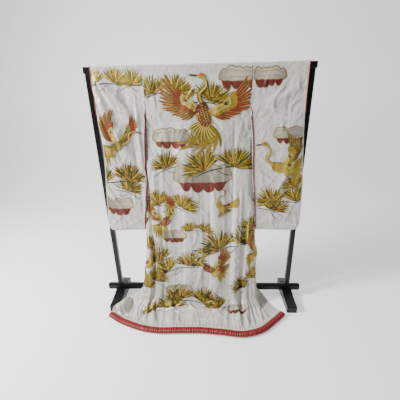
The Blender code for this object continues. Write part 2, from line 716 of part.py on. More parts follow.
def sleeve_folds(x, z, side):
    """Height of a sleeve's slanting folds: a soft ridge about a line for each row of the table."""
    total = np.zeros_like(x)
    for x0, z0, x1, z1, half, height in SLEEVE_FOLDS[side]:
        run = np.hypot(x1 - x0, z1 - z0)
        way = ((x - x0) * (x1 - x0) + (z - z0) * (z1 - z0)) / run
        off = ((x - x0) * (z1 - z0) - (z - z0) * (x1 - x0)) / run
        shown = ease(way / FOLD_FADE + 0.5) * ease((run - way) / FOLD_FADE + 0.5)
        total += height * np.exp(-((off / half) ** 2)) * shown
    return total


def body_reach(garment, side):
    """How far out the body's outermost fold stands at each row, as downs and distances."""
    downs = np.array(HANGING_ROWS)
    mine = garment.points[:, 0] * side > 0
    reach = [
        (garment.points[mine & (np.abs(garment.down - down) < 1e-6), 0] * side).max() for down in downs
    ]
    return downs, np.array(reach)


def sleeve_rings(garment, side):
    """A sleeve's rings about its hollow, one a column: up the near wall, over the bar, and down."""
    downs = np.array(SLEEVE_ROWS + (SLEEVE_LONG,))
    out = np.array(SLEEVE_COLUMNS)
    outer, middle, half = sleeve_halves(downs, out, side)
    reach_downs, reach = body_reach(garment, side)
    opened = ease((downs - ARMHOLE_DOWN) / SLIT_OPENS_OVER)
    inner = np.interp(downs, reach_downs, reach) + SLIT_WIDE[side] * opened
    inner = np.where(downs <= ARMHOLE_DOWN, SHOULDER_HALF + SEAM_GAP, inner)
    x = inner[:, None] + (outer - inner)[:, None] * out
    corner = np.clip(1.0 - (outer[:, None] - x) / SLEEVE_CORNER, 0.0, 1.0)
    rise = SLEEVE_CORNER * (1.0 - np.sqrt(1.0 - corner ** 2))
    low = np.clip((downs - CUFF_DOWN) / (SLEEVE_LONG - CUFF_DOWN), 0.0, 1.0)[:, None]
    z = TOP_Z - downs[:, None] + rise[-1] * low
    near = middle - half
    far = middle + half
    for row, down in enumerate(downs):
        if down > ARMHOLE_DOWN:
            continue
        body = section(down, side)
        near[row, 0] = body[BACK_COLUMNS, 1]
        far[row, 0] = body[BACK_COLUMNS + 1, 1]
        z[row] = body[BACK_COLUMNS, 2]
        x[row] = body[BACK_COLUMNS, 0] * side + SEAM_GAP + (outer[row] - SHOULDER_HALF) * out
    push = sleeve_folds(x, z, side) * ease((downs - 0.030) / 0.100)[:, None]
    push = push * np.where(downs[:, None] <= ARMHOLE_DOWN, ease(out / 0.25), 1.0)
    push = push * (1.0 - low) ** 0.1
    near = near - push
    far = far + push * (1.0 - ease(out / 0.80))
    x = x * side
    arc = over_bar()
    over = np.empty((len(arc), len(out), 3))
    over[:, :, 0] = side * (SHOULDER_HALF + SEAM_GAP + (outer[0] - SHOULDER_HALF) * out)
    over[:, :, 1:] = arc[:, None, :]
    walls_near = np.stack([x, near, z], 2)[-2::-1]
    walls_far = np.stack([x, far, z], 2)[:-1]
    bottom = np.stack([x, middle, z], 2)[-1:]
    return np.concatenate([bottom, walls_near, over, walls_far])


def sleeve(garment, side):
    """One sleeve's wall, open at the armhole, at its inner edge below that, and at the cuff."""
    rings = sleeve_rings(garment, side)
    around, columns = rings.shape[:2]
    number = np.arange(around * columns).reshape(around, columns)
    faces = []
    for here in range(around):
        there = (here + 1) % around
        for column in range(columns - 1):
            near_side = (number[here, column], number[there, column])
            far_side = (number[there, column + 1], number[here, column + 1])
            faces.append(near_side + far_side)
    end = number[:, -1]
    rows = len(SLEEVE_ROWS)
    closed_rows = rows - SLEEVE_ROWS.index(CUFF_DOWN)
    faces.append((end[0], end[1], end[around - 1]))
    for step in range(1, closed_rows):
        faces.append((end[step], end[step + 1], end[around - step - 1], end[around - step]))
    faces = [tuple(int(corner) for corner in face) for face in faces]
    points = rings.reshape(-1, 3)
    normals = vertex_normals(points, faces)
    normals[number[:, 0], 0] = 0.0
    normals[number[closed_rows:around - closed_rows + 1, -1], 0] = 0.0
    normals /= np.linalg.norm(normals, axis=1, keepdims=True)
    return rings, normals.reshape(rings.shape), thick(points, faces, normals)


def piping(path, outward, side_way):
    """A thin roll beside a cloth edge: five-sided rings about the path, square to it."""
    path = np.asarray(path, float)
    outward = outward / np.linalg.norm(outward, axis=1, keepdims=True)
    centre = path + outward * (PIPING - WALL / 2)
    centre[:, 0] += side_way * (PIPING + SEAM_GAP)
    across = np.zeros_like(path)
    across[:, 0] = side_way
    angle = 2 * math.pi * np.arange(PIPING_SIDES) / PIPING_SIDES
    ring = across[:, None] * np.cos(angle)[None, :, None] + outward[:, None] * np.sin(angle)[None, :, None]
    return loft(centre[:, None] + ring * PIPING)


def build_sleeves(garment):
    """Both sleeves, with the rolled lining along their open inner edges and round their cuffs."""
    rows = len(SLEEVE_ROWS)
    open_rows = rows - SLEEVE_ROWS.index(CUFF_DOWN)
    for side, hand in ((-1, "left"), (1, "right")):
        rings, normals, (points, faces) = sleeve(garment, side)
        if np.sum(normals[open_rows, :, 1]) > 0:
            normals = -normals
        shift = (GARMENT_X, 0.0, 0.0)
        place("sleeve_" + hand, points + shift, faces, "satin")
        around = len(rings)
        inner = [step % around for step in range(-open_rows, open_rows + 1)]
        path = rings[inner, 0]
        points, faces = piping(path, normals[inner, 0], -side)
        place("sleeve_edge_" + hand, points + shift, faces, "red_silk")
        cuff = list(range(open_rows, around - open_rows + 1))
        level = normals[cuff, -1].copy()
        level[:, 0] = 0.0
        path = rings[cuff, -1]
        # The cuff's roll ends a little short of the armhole side's closed rows.
        path[[0, -1]] = 0.8 * path[[0, -1]] + 0.2 * path[[1, -2]]
        points, faces = piping(path, level, side)
        place("cuff_edge_" + hand, points + shift, faces, "red_silk")


def build_garment():
    """Every piece of the garment, set on the stand."""
    garment = Garment()
    lay_out(garment)
    normals = settle_folds(garment)
    for piece in sorted(garment.faces):
        points, faces = cut_piece(garment, normals, piece)
        place(piece, points + (GARMENT_X, 0.0, 0.0), faces, "satin")
    points, faces = hem_roll()
    place("hem_roll", points + (GARMENT_X, 0.0, 0.0), faces, "red_silk")
    build_sleeves(garment)


def main():
    """The garment and then the six pieces of its stand."""
    for item in list(bpy.data.objects):
        bpy.data.objects.remove(item)
    build_garment()
    box("crossbar", (2 * BAR_HALF, BAR_DEEP, BAR_TALL), (0.0, 0.0, BAR_Z), 0.005)
    box("rail", (2 * RAIL_HALF, RAIL_DEEP, RAIL_TALL), (0.0, 0.0, RAIL_Z), 0.010)
    rail_top = RAIL_Z + RAIL_TALL / 2
    bar_under = BAR_Z - BAR_TALL / 2
    for side, hand in ((-1, "left"), (1, "right")):
        tall = bar_under - rail_top - 2 * SEAM_GAP
        middle = (bar_under + rail_top) / 2
        box("post_" + hand, (POST_SIDE, POST_SIDE, tall), (side * POST_X, 0.0, middle), 0.004)
        foot("foot_" + hand, side)


main()
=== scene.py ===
# %% [markdown]
# # A wedding over-kimono on its stand
# A heavy padded over-kimono hangs by its sleeves from a lacquered bar, seen from its back, and its
# hem lies out on the floor. This lesson builds its cloth finer than the solids in the frame, on the
# same form: first the surface, then the pieces a maker cuts, then the embroidery laid on them.
#
# ## Getting the frame
# The imported solids come first.
# %% Frame
import math

import bpy
import numpy as np
from mathutils import Matrix


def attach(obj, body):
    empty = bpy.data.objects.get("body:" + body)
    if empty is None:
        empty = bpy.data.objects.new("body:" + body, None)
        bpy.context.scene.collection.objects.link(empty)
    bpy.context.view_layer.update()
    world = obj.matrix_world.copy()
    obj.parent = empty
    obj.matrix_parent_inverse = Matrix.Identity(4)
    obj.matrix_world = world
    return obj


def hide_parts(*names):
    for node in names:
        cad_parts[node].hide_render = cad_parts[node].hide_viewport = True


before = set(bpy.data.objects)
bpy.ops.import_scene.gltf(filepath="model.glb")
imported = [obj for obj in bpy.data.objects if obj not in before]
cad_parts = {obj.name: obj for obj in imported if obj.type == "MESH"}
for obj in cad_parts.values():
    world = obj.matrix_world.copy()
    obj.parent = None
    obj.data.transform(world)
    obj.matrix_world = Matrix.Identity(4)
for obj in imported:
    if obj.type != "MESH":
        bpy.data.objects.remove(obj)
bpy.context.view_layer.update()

# %% [markdown]
# ## The sizes
# All lengths are metres. The stand's middle plane is y = 0 while the cloth is worked out; everything
# is moved back by STAND_Y at the end. "along" is measured out from centre back, "down" from the
# shoulder fold, both on the cloth itself, so they are also the cloth's own weave directions.
# %% Sizes
STAND_Y = 0.145
REST = 0.0020
CLOTH_HALF = 0.0012
SEAM_PULL = 0.00025
BAR_TOP = 1.731
BAR_HALF_DEEP = 0.017
RAIL_FACE = -0.018
GARMENT_X = -0.007
SHOULDER_HALF = 0.334
BACK_HEM, FRONT_HEM, OVERLAP_HEM = 0.310, 0.255, 0.155
COLLAR_WIDE, COLLAR_END, COLLAR_DROP = 0.055, 1.020, 0.058
TOP_Z = BAR_TOP + REST
LEAF_Y = BAR_HALF_DEEP + REST
FOLD_ROUND = 0.0070
LANDING, HEM_DOWN = 1.745, 2.020
CLOSED_DOWN, ARMHOLE_DOWN = 0.375, 0.235
LOW_SPREAD = {-1: 0.050, 1: -0.045}
BACK_COLUMNS, FRONT_COLUMNS, OVERLAP_COLUMNS, COLLAR_COLUMNS = 12, 9, 5, 2
FINE = 6
HAND = {-1: "left", 1: "right"}
ROW_STEP = 0.0064
print("back hem half", BACK_HEM, "front hem half", FRONT_HEM)

# %% [markdown]
# ## The section table
# Each row is one level section through the hanging cloth: where centre back, the side seam, the
# outermost fold, the front seam and the free edge stand. A table keeps the whole drape readable, and
# a smooth curve through its rows gives every height between.
# %% Sections
SECTIONS = np.array((
    # down, z, centre_y, seam_x, seam_y, slit, side_x, side_y, join_x, join_y, edge_x, edge_y
    (0.030, 1.705, -0.0190, 0.334, -0.0190, 0.0380, 0.330, 0.0190, 0.0835, 0.0190, 0.0835, 0.0190),
    (0.235, 1.500, -0.0270, 0.334, -0.0260, 0.0520, 0.330, 0.0260, 0.0850, 0.0270, 0.0850, 0.0270),
    (0.375, 1.360, -0.0340, 0.338, -0.0120, 0.0000, 0.346, 0.0040, 0.0950, 0.0300, 0.0950, 0.0300),
    (0.635, 1.100, -0.0420, 0.339, -0.0300, 0.0000, 0.363, -0.0040, 0.1500, 0.0290, 0.0900, 0.0280),
    (0.935, 0.800, -0.0520, 0.336, -0.0440, 0.0000, 0.385, -0.0140, 0.2400, 0.0200, 0.1350, 0.0200),
    (1.235, 0.500, -0.0660, 0.333, -0.0600, 0.0000, 0.408, -0.0320, 0.3300, 0.0020, 0.2200, 0.0060),
    (1.455, 0.280, -0.0840, 0.331, -0.0800, 0.0000, 0.428, -0.0580, 0.3960, -0.0220, 0.3180, -0.0120),
    (1.590, 0.150, -0.1000, 0.334, -0.1000, 0.0000, 0.444, -0.0820, 0.4460, -0.0480, 0.4120, -0.0240),
    (1.640, 0.100, -0.1100, 0.337, -0.1110, 0.0000, 0.452, -0.0940, 0.4660, -0.0620, 0.4620, -0.0250),
    (1.680, 0.064, -0.1220, 0.340, -0.1230, 0.0000, 0.460, -0.1050, 0.4840, -0.0740, 0.4980, -0.0300),
    (1.745, 0.014, -0.1600, 0.346, -0.1580, 0.0000, 0.480, -0.1350, 0.5160, -0.1000, 0.5440, -0.0560),
))
HANGING_ROWS = (
    0.030, 0.130, 0.235, 0.305, 0.375, 0.500, 0.635, 0.780, 0.935,
    1.085, 1.235, 1.350, 1.455, 1.530, 1.590, 1.640, 1.680, 1.715,
)
FLOOR_ROWS = (0.00, 0.12, 0.28, 0.46, 0.64, 0.80, 0.92, 1.00)
HEM_LINE = np.array((
    # along, left x, left y, right x, right y
    (0.000, 0.000, -0.377, 0.000, -0.377),
    (0.150, 0.150, -0.379, 0.150, -0.391),
    (0.310, 0.310, -0.382, 0.312, -0.405),
    (0.420, 0.416, -0.364, 0.422, -0.372),
    (0.565, 0.552, -0.315, 0.530, -0.288),
    (0.720, 0.694, -0.245, 0.618, -0.209),
))
END_LIFT, LIFT_FROM = 0.014, 0.600
ROLL_HALF, ROLL_TALL = 0.0245, 0.036
print("sections", len(SECTIONS), "hem stations", len(HEM_LINE))

# %% [markdown]
# ## The folds
# A fold is a soft ridge or trough: a bell curve across its line, easing in and out at its ends. The
# large ones are in the solids too. The fine ones are only here, uneven, and of the same kind on the
# sides the photograph doesn't show.
# %% Folds
FOLDS = (
    # along, half width, height, from down, to down
    (-0.345, 0.020, -0.014, 0.70, 1.72),
    (-0.290, 0.026, 0.010, 0.60, 1.74),
    (-0.395, 0.028, 0.010, 0.80, 1.80),
    (-0.160, 0.034, -0.008, 0.35, 1.55),
    (-0.085, 0.034, 0.007, 0.45, 1.70),
    (0.030, 0.030, -0.006, 0.80, 1.65),
    (0.105, 0.034, 0.008, 0.40, 1.74),
    (0.190, 0.034, -0.008, 0.55, 1.60),
    (0.240, 0.024, 0.012, 0.90, 1.78),
    (0.292, 0.020, -0.018, 1.05, 1.76),
    (0.345, 0.026, 0.012, 0.85, 1.80),
    (-0.340, 0.026, 0.024, 1.70, 1.96),
    (-0.205, 0.034, 0.020, 1.70, 1.97),
    (-0.060, 0.026, 0.010, 1.72, 1.95),
    (0.120, 0.034, 0.012, 1.70, 1.96),
    (0.262, 0.022, 0.018, 1.70, 1.98),
    (0.340, 0.022, 0.016, 1.72, 1.99),
    (0.470, 0.026, 0.013, 1.70, 1.98),
    (-0.500, 0.028, 0.012, 1.72, 1.97),
)
FLUTES = (
    # along, half width, height, from down, to down, the same on both sides
    (0.455, 0.020, 0.011, 0.50, 1.36),
    (0.503, 0.020, -0.010, 0.50, 1.34),
    (0.551, 0.020, 0.010, 0.55, 1.34),
    (0.600, 0.020, -0.009, 0.65, 1.32),
    (0.650, 0.020, 0.008, 0.70, 1.32),
)
FINE_FOLDS = (
    # from along, from down, to along, to down, half width, height
    (-0.225, 0.42, -0.250, 1.30, 0.011, 0.0042),
    (-0.120, 0.60, -0.128, 1.52, 0.010, -0.0036),
    (-0.045, 0.30, -0.052, 0.95, 0.012, 0.0033),
    (0.010, 1.00, 0.000, 1.60, 0.010, 0.0045),
    (0.068, 0.70, 0.060, 1.58, 0.011, -0.0042),
    (0.150, 0.45, 0.162, 1.20, 0.010, 0.0045),
    (0.215, 0.35, 0.212, 1.62, 0.009, -0.0051),
    (0.268, 0.80, 0.272, 1.70, 0.008, 0.0063),
    (0.322, 0.95, 0.318, 1.72, 0.009, 0.0075),
    (-0.268, 0.90, -0.262, 1.70, 0.009, -0.0054),
    (-0.318, 0.60, -0.320, 1.68, 0.009, 0.0069),
    (-0.020, 0.12, -0.110, 0.34, 0.014, 0.0033),
    (0.045, 0.10, 0.150, 0.33, 0.014, 0.0033),
    (-0.255, 0.20, -0.180, 0.48, 0.012, 0.0030),
    (0.285, 0.22, 0.225, 0.50, 0.012, 0.0036),
    (-0.30, 1.66, -0.12, 1.84, 0.011, 0.0090),
    (-0.10, 1.67, -0.28, 1.88, 0.010, 0.0075),
    (0.02, 1.68, 0.16, 1.86, 0.010, 0.0078),
    (0.20, 1.68, 0.06, 1.88, 0.011, 0.0069),
    (0.300, 1.70, 0.340, 1.95, 0.009, 0.0120),
    (0.262, 1.72, 0.285, 1.96, 0.008, 0.0105),
    (0.225, 1.74, 0.232, 1.96, 0.008, 0.0083),
    (0.372, 1.71, 0.392, 1.96, 0.009, 0.0120),
    (0.415, 1.72, 0.442, 1.95, 0.009, 0.0090),
    (0.185, 1.75, 0.178, 1.97, 0.009, 0.0063),
    (-0.150, 1.76, -0.165, 1.97, 0.010, 0.0069),
    (-0.255, 1.74, -0.275, 1.97, 0.009, 0.0090),
    (-0.385, 1.72, -0.418, 1.95, 0.010, 0.0105),
    (-0.445, 1.72, -0.475, 1.94, 0.010, 0.0083),
    (-0.560, 1.74, -0.575, 1.94, 0.011, 0.0060),
    (0.520, 1.74, 0.535, 1.95, 0.010, 0.0060),
    (-0.030, 1.80, -0.015, 1.98, 0.008, 0.0051),
    (0.075, 1.80, 0.080, 1.98, 0.008, 0.0054),
)
FADE = 0.120
QUIET_FROM, QUIET_RUN = 0.030, 0.100
CREASES, CREASE_TALL = 230, 0.0056
CALM_ALONG, CALM_HALF, CALM_UNTIL = 0.395, 0.090, 1.150
GATHER_PITCH, GATHER_TALL, GATHER_FROM = 0.027, 0.0030, 1.880
SEAM_DIP, SEAM_DIP_HALF = 0.0011, 0.0035
print("folds", len(FOLDS) + len(FLUTES) + len(FINE_FOLDS))

# %% [markdown]
# ## The shape of a fold
# Every fold is the same simple curve, a bell, so one function adds up a whole table of them. Small
# swells and creases come from seeded random numbers, which give the same cloth on every run.
# %% Fold shapes
def ease(x):
    """Zero below 0, one above 1, and the smooth step 3x^2 - 2x^3 between."""
    x = np.clip(x, 0.0, 1.0)
    return x * x * (3.0 - 2.0 * x)


def straight_folds(along, down, table):
    """Sum over the table's rows of height times a bell curve in (along - place) / half width."""
    total = np.zeros(np.broadcast(along, down).shape)
    for place, half, height, start, end in table:
        shown = ease((down - start) / FADE + 0.5) * ease((end - down) / FADE + 0.5)
        total += height * np.exp(-(((along - place) / half) ** 2)) * shown
    return total


def slanting_folds(a, b, table, fade=FADE):
    """Sum over the rows of height times a bell curve in the distance from the row's line."""
    total = np.zeros(np.broadcast(a, b).shape)
    for a0, b0, a1, b1, half, height in table:
        run = math.hypot(a1 - a0, b1 - b0)
        way = ((a - a0) * (a1 - a0) + (b - b0) * (b1 - b0)) / run
        off = ((a - a0) * (b1 - b0) - (b - b0) * (a1 - a0)) / run
        shown = ease(way / fade + 0.5) * ease((run - way) / fade + 0.5)
        total += height * np.exp(-((off / half) ** 2)) * shown
    return total


def ripple(a, b, seed, size, count=14, short=0.030, long=0.160, upright=0.7):
    """Soft uneven swells: a sum of sine waves of random length and direction, mostly across a."""
    rng = np.random.default_rng(seed)
    total = np.zeros(np.broadcast(a, b).shape)
    for _ in range(count):
        length = rng.uniform(short, long)
        turn = rng.normal(0.0, 1.0 - upright) + (0.0 if rng.random() < upright else 1.2)
        phase = rng.uniform(0.0, 2 * math.pi)
        way = a * math.cos(turn) + b * math.sin(turn)
        total += (length / long) * np.sin(2 * math.pi * way / length + phase)
    return size * total / math.sqrt(count)


def crumple(a, b, seed, count, size, low, high, lean):
    """Many short creases inside a box: each a bell across a slightly bent line, fading at its ends."""
    rng = np.random.default_rng(seed)
    total = np.zeros(np.broadcast(a, b).shape)
    for _ in range(count):
        a0, b0 = rng.uniform(low, high)
        turn = rng.normal(lean, 0.55)
        run, half = rng.uniform(0.035, 0.110), rng.uniform(0.0065, 0.0120)
        way = (a - a0) * math.sin(turn) + (b - b0) * math.cos(turn)
        off = (a - a0) * math.cos(turn) - (b - b0) * math.sin(turn) + rng.normal(0.0, 2.0) * way ** 2
        height = size * rng.uniform(0.35, 1.0) * (1.0 if rng.random() < 0.62 else -0.8)
        total += height * np.exp(-((off / half) ** 2) - (way / run) ** 4)
    return total


print("tallest fold", max(abs(row[2]) for row in FOLDS))

# %% [markdown]
# ## A smooth curve through a table
# The drape is steep in places, so the curve is a cubic between neighbouring rows whose slope at each
# row is the weighted mean of the slopes on its two sides. It never runs far outside its rows.
# %% Curves
def flow(knots, values, at):
    """Cubic Hermite curve through (knots, values), along the first axis."""
    knots = np.asarray(knots, float)
    values = np.asarray(values, float)
    at = np.clip(np.asarray(at, float), knots[0], knots[-1])
    steps = np.diff(knots)
    shape = (-1,) + (1,) * (values.ndim - 1)
    rises = np.diff(values, axis=0) / steps.reshape(shape)
    before, after = steps[:-1].reshape(shape), steps[1:].reshape(shape)
    inner = (rises[:-1] * after + rises[1:] * before) / (before + after)
    slopes = np.concatenate([rises[:1], inner, rises[-1:]])
    cell = np.clip(np.searchsorted(knots, at, side="right") - 1, 0, len(steps) - 1)
    over = at.shape + (1,) * (values.ndim - 1)
    wide = steps[cell].reshape(over)
    t = (at - knots[cell]).reshape(over) / wide
    start = (1 + 2 * t) * (1 - t) ** 2 * values[cell]
    end = t * t * (3 - 2 * t) * values[cell + 1]
    lean = t * (1 - t) ** 2 * wide * slopes[cell] - t * t * (1 - t) * wide * slopes[cell + 1]
    return start + end + lean


def evenly(points, count):
    """count + 1 points at equal distances along a smooth curve through a few points."""
    points = np.asarray(points, float)
    chords = np.maximum(np.linalg.norm(np.diff(points, axis=0), axis=1), 1e-4)
    knots = np.concatenate([[0.0], np.cumsum(chords)])
    dense = flow(knots, points, np.linspace(0.0, knots[-1], 160))
    run = np.concatenate([[0.0], np.cumsum(np.linalg.norm(np.diff(dense, axis=0), axis=1))])
    wanted = np.linspace(0.0, run[-1], count + 1)
    return np.stack([np.interp(wanted, run, dense[:, axis]) for axis in range(points.shape[1])], 1)


def over_bar(count_side):
    """The (y, z) path over the bar: a quarter round, the flat top, and a quarter round."""
    quarter = np.linspace(0.0, math.pi / 2, count_side + 1)
    y = LEAF_Y - FOLD_ROUND + FOLD_ROUND * np.cos(quarter)
    z = TOP_Z - FOLD_ROUND + FOLD_ROUND * np.sin(quarter)
    return np.concatenate([np.stack([-y, z], 1), [[0.0, TOP_Z]], np.stack([y, z], 1)[::-1]])


print("points over the bar", len(over_bar(5)))

# %% [markdown]
# ## The garment's surface
# One half is a grid: rows go down the cloth and columns run from centre back out to the side seam,
# round it, and back in along the front to the free edge. Below the landing row the cloth leaves the
# vertical and lies straight out to the padded roll.
# %% Surface
def section(down, side):
    """One hanging row of a half: back out to the seam, then front, overlap and collar inwards."""
    (z, centre_y, seam_x, seam_y, slit, side_x, side_y, join_x, join_y, edge_x, edge_y) = flow(
        SECTIONS[:, 0], SECTIONS[:, 1:], [down]
    )[0]
    slit = max(slit, 0.0) if down < CLOSED_DOWN else 0.0
    if down <= CLOSED_DOWN:
        edge_x, edge_y = join_x, join_y
    out = np.linspace(0.0, 1.0, BACK_COLUMNS + 1)
    back = np.stack([seam_x * out, centre_y + (seam_y - centre_y) * out ** 2], 1)
    turn = (side_x - 0.25 * (side_x - join_x), 0.35 * side_y + 0.65 * join_y)
    front = evenly([(seam_x, seam_y + slit), (side_x, side_y), turn, (join_x, join_y)], FRONT_COLUMNS)
    if down <= HANGING_ROWS[0]:
        flat = np.linspace(SHOULDER_HALF, SHOULDER_HALF / 4, FRONT_COLUMNS + 1)
        front = np.stack([flat, np.full_like(flat, join_y)], 1)
    overlap = np.linspace(front[-1], (edge_x, edge_y), OVERLAP_COLUMNS + 1)[1:]
    collar = np.linspace((edge_x, edge_y), (edge_x - COLLAR_WIDE, edge_y), COLLAR_COLUMNS + 1)[1:]
    row = np.concatenate([back, front, overlap, collar])
    spread = 1.0 + LOW_SPREAD[side] * ease((down - 1.250) / 0.450)
    heights = np.full(len(row), z)
    droop = COLLAR_DROP * ease(1.0 - down / CLOSED_DOWN)
    heights[-COLLAR_COLUMNS:] -= droop * np.linspace(0.0, 1.0, COLLAR_COLUMNS + 1)[1:]
    return np.stack([side * row[:, 0] * spread, row[:, 1], heights], 1)


def along_hem():
    """How far out from centre back each column of the coarse grid meets the hem."""
    back = np.linspace(0.0, BACK_HEM, BACK_COLUMNS + 1)
    front = np.linspace(BACK_HEM, BACK_HEM + FRONT_HEM, FRONT_COLUMNS + 1)
    overlap = np.linspace(front[-1], front[-1] + OVERLAP_HEM, OVERLAP_COLUMNS + 1)[1:]
    collar = np.linspace(overlap[-1], overlap[-1] + COLLAR_WIDE, COLLAR_COLUMNS + 1)[1:]
    return np.concatenate([back, front, overlap, collar])


def hem_line(along, side):
    """Centre line of the padded roll, and the level unit vector there towards the cloth."""
    columns = HEM_LINE[:, 1:3] if side < 0 else HEM_LINE[:, 3:5]
    level = flow(HEM_LINE[:, 0], columns, along)
    ahead = flow(HEM_LINE[:, 0], columns, np.minimum(along + 1e-3, HEM_LINE[-1, 0]))
    behind = flow(HEM_LINE[:, 0], columns, np.maximum(along - 1e-3, 0.0))
    tangent = ahead - behind
    tangent /= np.linalg.norm(tangent, axis=1, keepdims=True)
    inward = np.stack([-tangent[:, 1] * side, tangent[:, 0]], 1)
    lift = END_LIFT * ease((along - LIFT_FROM) / (HEM_LINE[-1, 0] - LIFT_FROM)) if side < 0 else 0.0
    points = np.column_stack([side * level[:, 0], level[:, 1], ROLL_TALL / 2 + lift + 0.0 * along])
    return points, inward


def coarse_half(side):
    """The grid of one half at the table's own rows: hanging rows, then rows out over the floor."""
    rows = [section(down, side) for down in HANGING_ROWS]
    landing = section(LANDING, side)
    hem, inward = hem_line(np.minimum(along_hem(), HEM_LINE[-1, 0]), side)
    edge = hem[:, :2] + inward * (ROLL_HALF + 0.0003)
    for share in FLOOR_ROWS:
        level = landing[:, :2] + (edge - landing[:, :2]) * share
        high = REST + (hem[:, 2] - REST) * ease((share - 0.72) / 0.28)
        over_toe = ease((-level[:, 0] - 0.560) / 0.045) * ease((level[:, 1] + 0.2255) / 0.018)
        lying = high + np.maximum(0.063 - high, 0.0) * over_toe
        height = lying + (landing[:, 2] - lying) * (1.0 - ease(share / 0.12))
        rows.append(np.column_stack([level, height]))
    return np.array(rows)


print("coarse grid", coarse_half(1).shape)

# %% [markdown]
# ## The finer grid
# The coarse rows and columns are only knots. Smooth curves through them give rows every few
# millimetres, and the folds then push each point out along the surface's own normal.
# %% Finer grid
def fine_columns(coarse, first, last):
    """The columns first to last of a coarse grid, each cell cut into FINE."""
    at = np.linspace(first, last, (last - first) * FINE + 1)
    picked = np.moveaxis(coarse[:, first:last + 1], 1, 0)
    return np.moveaxis(flow(np.arange(first, last + 1), picked, at), 0, 1)


ALONG = along_hem()
COARSE_DOWN = np.array(list(HANGING_ROWS) + [LANDING + s * (HEM_DOWN - LANDING) for s in FLOOR_ROWS])
DOWN = np.unique(np.concatenate([
    np.linspace(COARSE_DOWN[0], ARMHOLE_DOWN, 33),
    np.linspace(ARMHOLE_DOWN, CLOSED_DOWN, 23),
    np.linspace(CLOSED_DOWN, HEM_DOWN, round((HEM_DOWN - CLOSED_DOWN) / ROW_STEP) + 1),
]).round(7))
CLOSED_ROW = int(np.searchsorted(DOWN, CLOSED_DOWN - 1e-6))
NB = BACK_COLUMNS * FINE + 1
NF = FRONT_COLUMNS * FINE + 1
NO = OVERLAP_COLUMNS * FINE + 1


def unit(v):
    """Vectors scaled to length one."""
    return v / (np.linalg.norm(v, axis=-1, keepdims=True) + 1e-12)


def fine_half(side):
    """The fine grid of one half with its folds: back, front and overlap side by side, and along."""
    coarse = coarse_half(side)
    join = BACK_COLUMNS + 1 + FRONT_COLUMNS
    blocks = [(0, BACK_COLUMNS), (BACK_COLUMNS + 1, join), (join, join + OVERLAP_COLUMNS)]
    grid = np.concatenate([fine_columns(coarse, a, b) for a, b in blocks], 1)
    along = np.concatenate([np.linspace(ALONG[a], ALONG[b], (b - a) * FINE + 1) for a, b in blocks])
    grid = flow(COARSE_DOWN, grid, DOWN)
    u = side * along[None, :]
    v = DOWN[:, None]
    normal = unit(side * np.cross(np.gradient(grid, axis=0), np.gradient(grid, axis=1)))
    for left in (NB - 1, NB + NF - 1):
        shared = unit(normal[:, left] + normal[:, left + 1])
        normal[CLOSED_ROW:, left] = shared[CLOSED_ROW:]
        normal[CLOSED_ROW:, left + 1] = shared[CLOSED_ROW:]
    normal[:, 0, 0] = 0.0
    normal = unit(normal)
    height = straight_folds(u, v, FOLDS) + straight_folds(np.abs(u) + 0 * v, v, FLUTES)
    height += slanting_folds(u, v, FINE_FOLDS)
    quiet = ease((v - QUIET_FROM) / QUIET_RUN)
    height += quiet * ripple(u, v, 5, 0.0016) + quiet * ripple(u, v, 8, 0.0005, 18, 0.014, 0.050, 0.5)
    beside_slit = np.exp(-(((np.abs(u) - CALM_ALONG) / CALM_HALF) ** 4))
    calm = 1.0 - 0.85 * beside_slit * (1.0 - ease((v - CALM_UNTIL) / 0.15))
    height += quiet * calm * crumple(u, v, 41 + side, CREASES, CREASE_TALL, (-0.72, 0.06), (0.72, 2.0), 0.0)
    uneven = u + 0.004 * np.sin(31 * u)
    gather = 0.5 + 0.5 * np.sin(2 * math.pi * uneven / GATHER_PITCH + 2.0 * np.sin(9 * u))
    height += GATHER_TALL * gather ** 1.5 * ease((v - GATHER_FROM) / 0.12)
    for seam in (0.0, BACK_HEM, BACK_HEM + FRONT_HEM):
        height -= SEAM_DIP * np.exp(-(((np.abs(u) - seam) / SEAM_DIP_HALF) ** 2)) * quiet
    lying = ease((v - LANDING + 0.01) / 0.05)
    lift = np.maximum(height, -0.0004) * ease((HEM_DOWN - v) / 0.02)
    grid = grid + normal * (height * (1.0 - lying))[..., None]
    grid[..., 2] += lift * lying
    low = 1.0 - ease((grid[..., 2] - 0.120) / 0.030)
    grid[..., 1] = np.minimum(grid[..., 1], RAIL_FACE - 0.0035 + (1.0 - low) * 0.2)
    grid[..., 2] = np.maximum(grid[..., 2], CLOTH_HALF + 0.0006)
    return grid, along


HALVES = {side: fine_half(side) for side in (-1, 1)}
print("half grid", HALVES[1][0].shape)

# %% [markdown]
# ## From a grid to cloth
# Each piece is a closed shell: an outer face of satin, an inner face of red silk lining, and a rim
# between them along every cut edge. The rim is found from the grid itself: an edge walked in one
# direction only has no neighbour, so it is a cut edge.
# %% Shell
def cells(ids, flip):
    """The quads of a grid of point numbers, turned over when flip is true."""
    quads = np.stack([ids[:-1, :-1], ids[1:, :-1], ids[1:, 1:], ids[:-1, 1:]], -1).reshape(-1, 4)
    return quads[:, ::-1] if flip else quads


def point_normals(points, quads):
    """Unit normals at the points: the sum of the cross products of their quads' diagonals."""
    faces = points[quads]
    turned = np.cross(faces[:, 2] - faces[:, 0], faces[:, 3] - faces[:, 1])
    normals = np.zeros_like(points)
    for corner in range(4):
        np.add.at(normals, quads[:, corner], turned)
    return unit(normals)


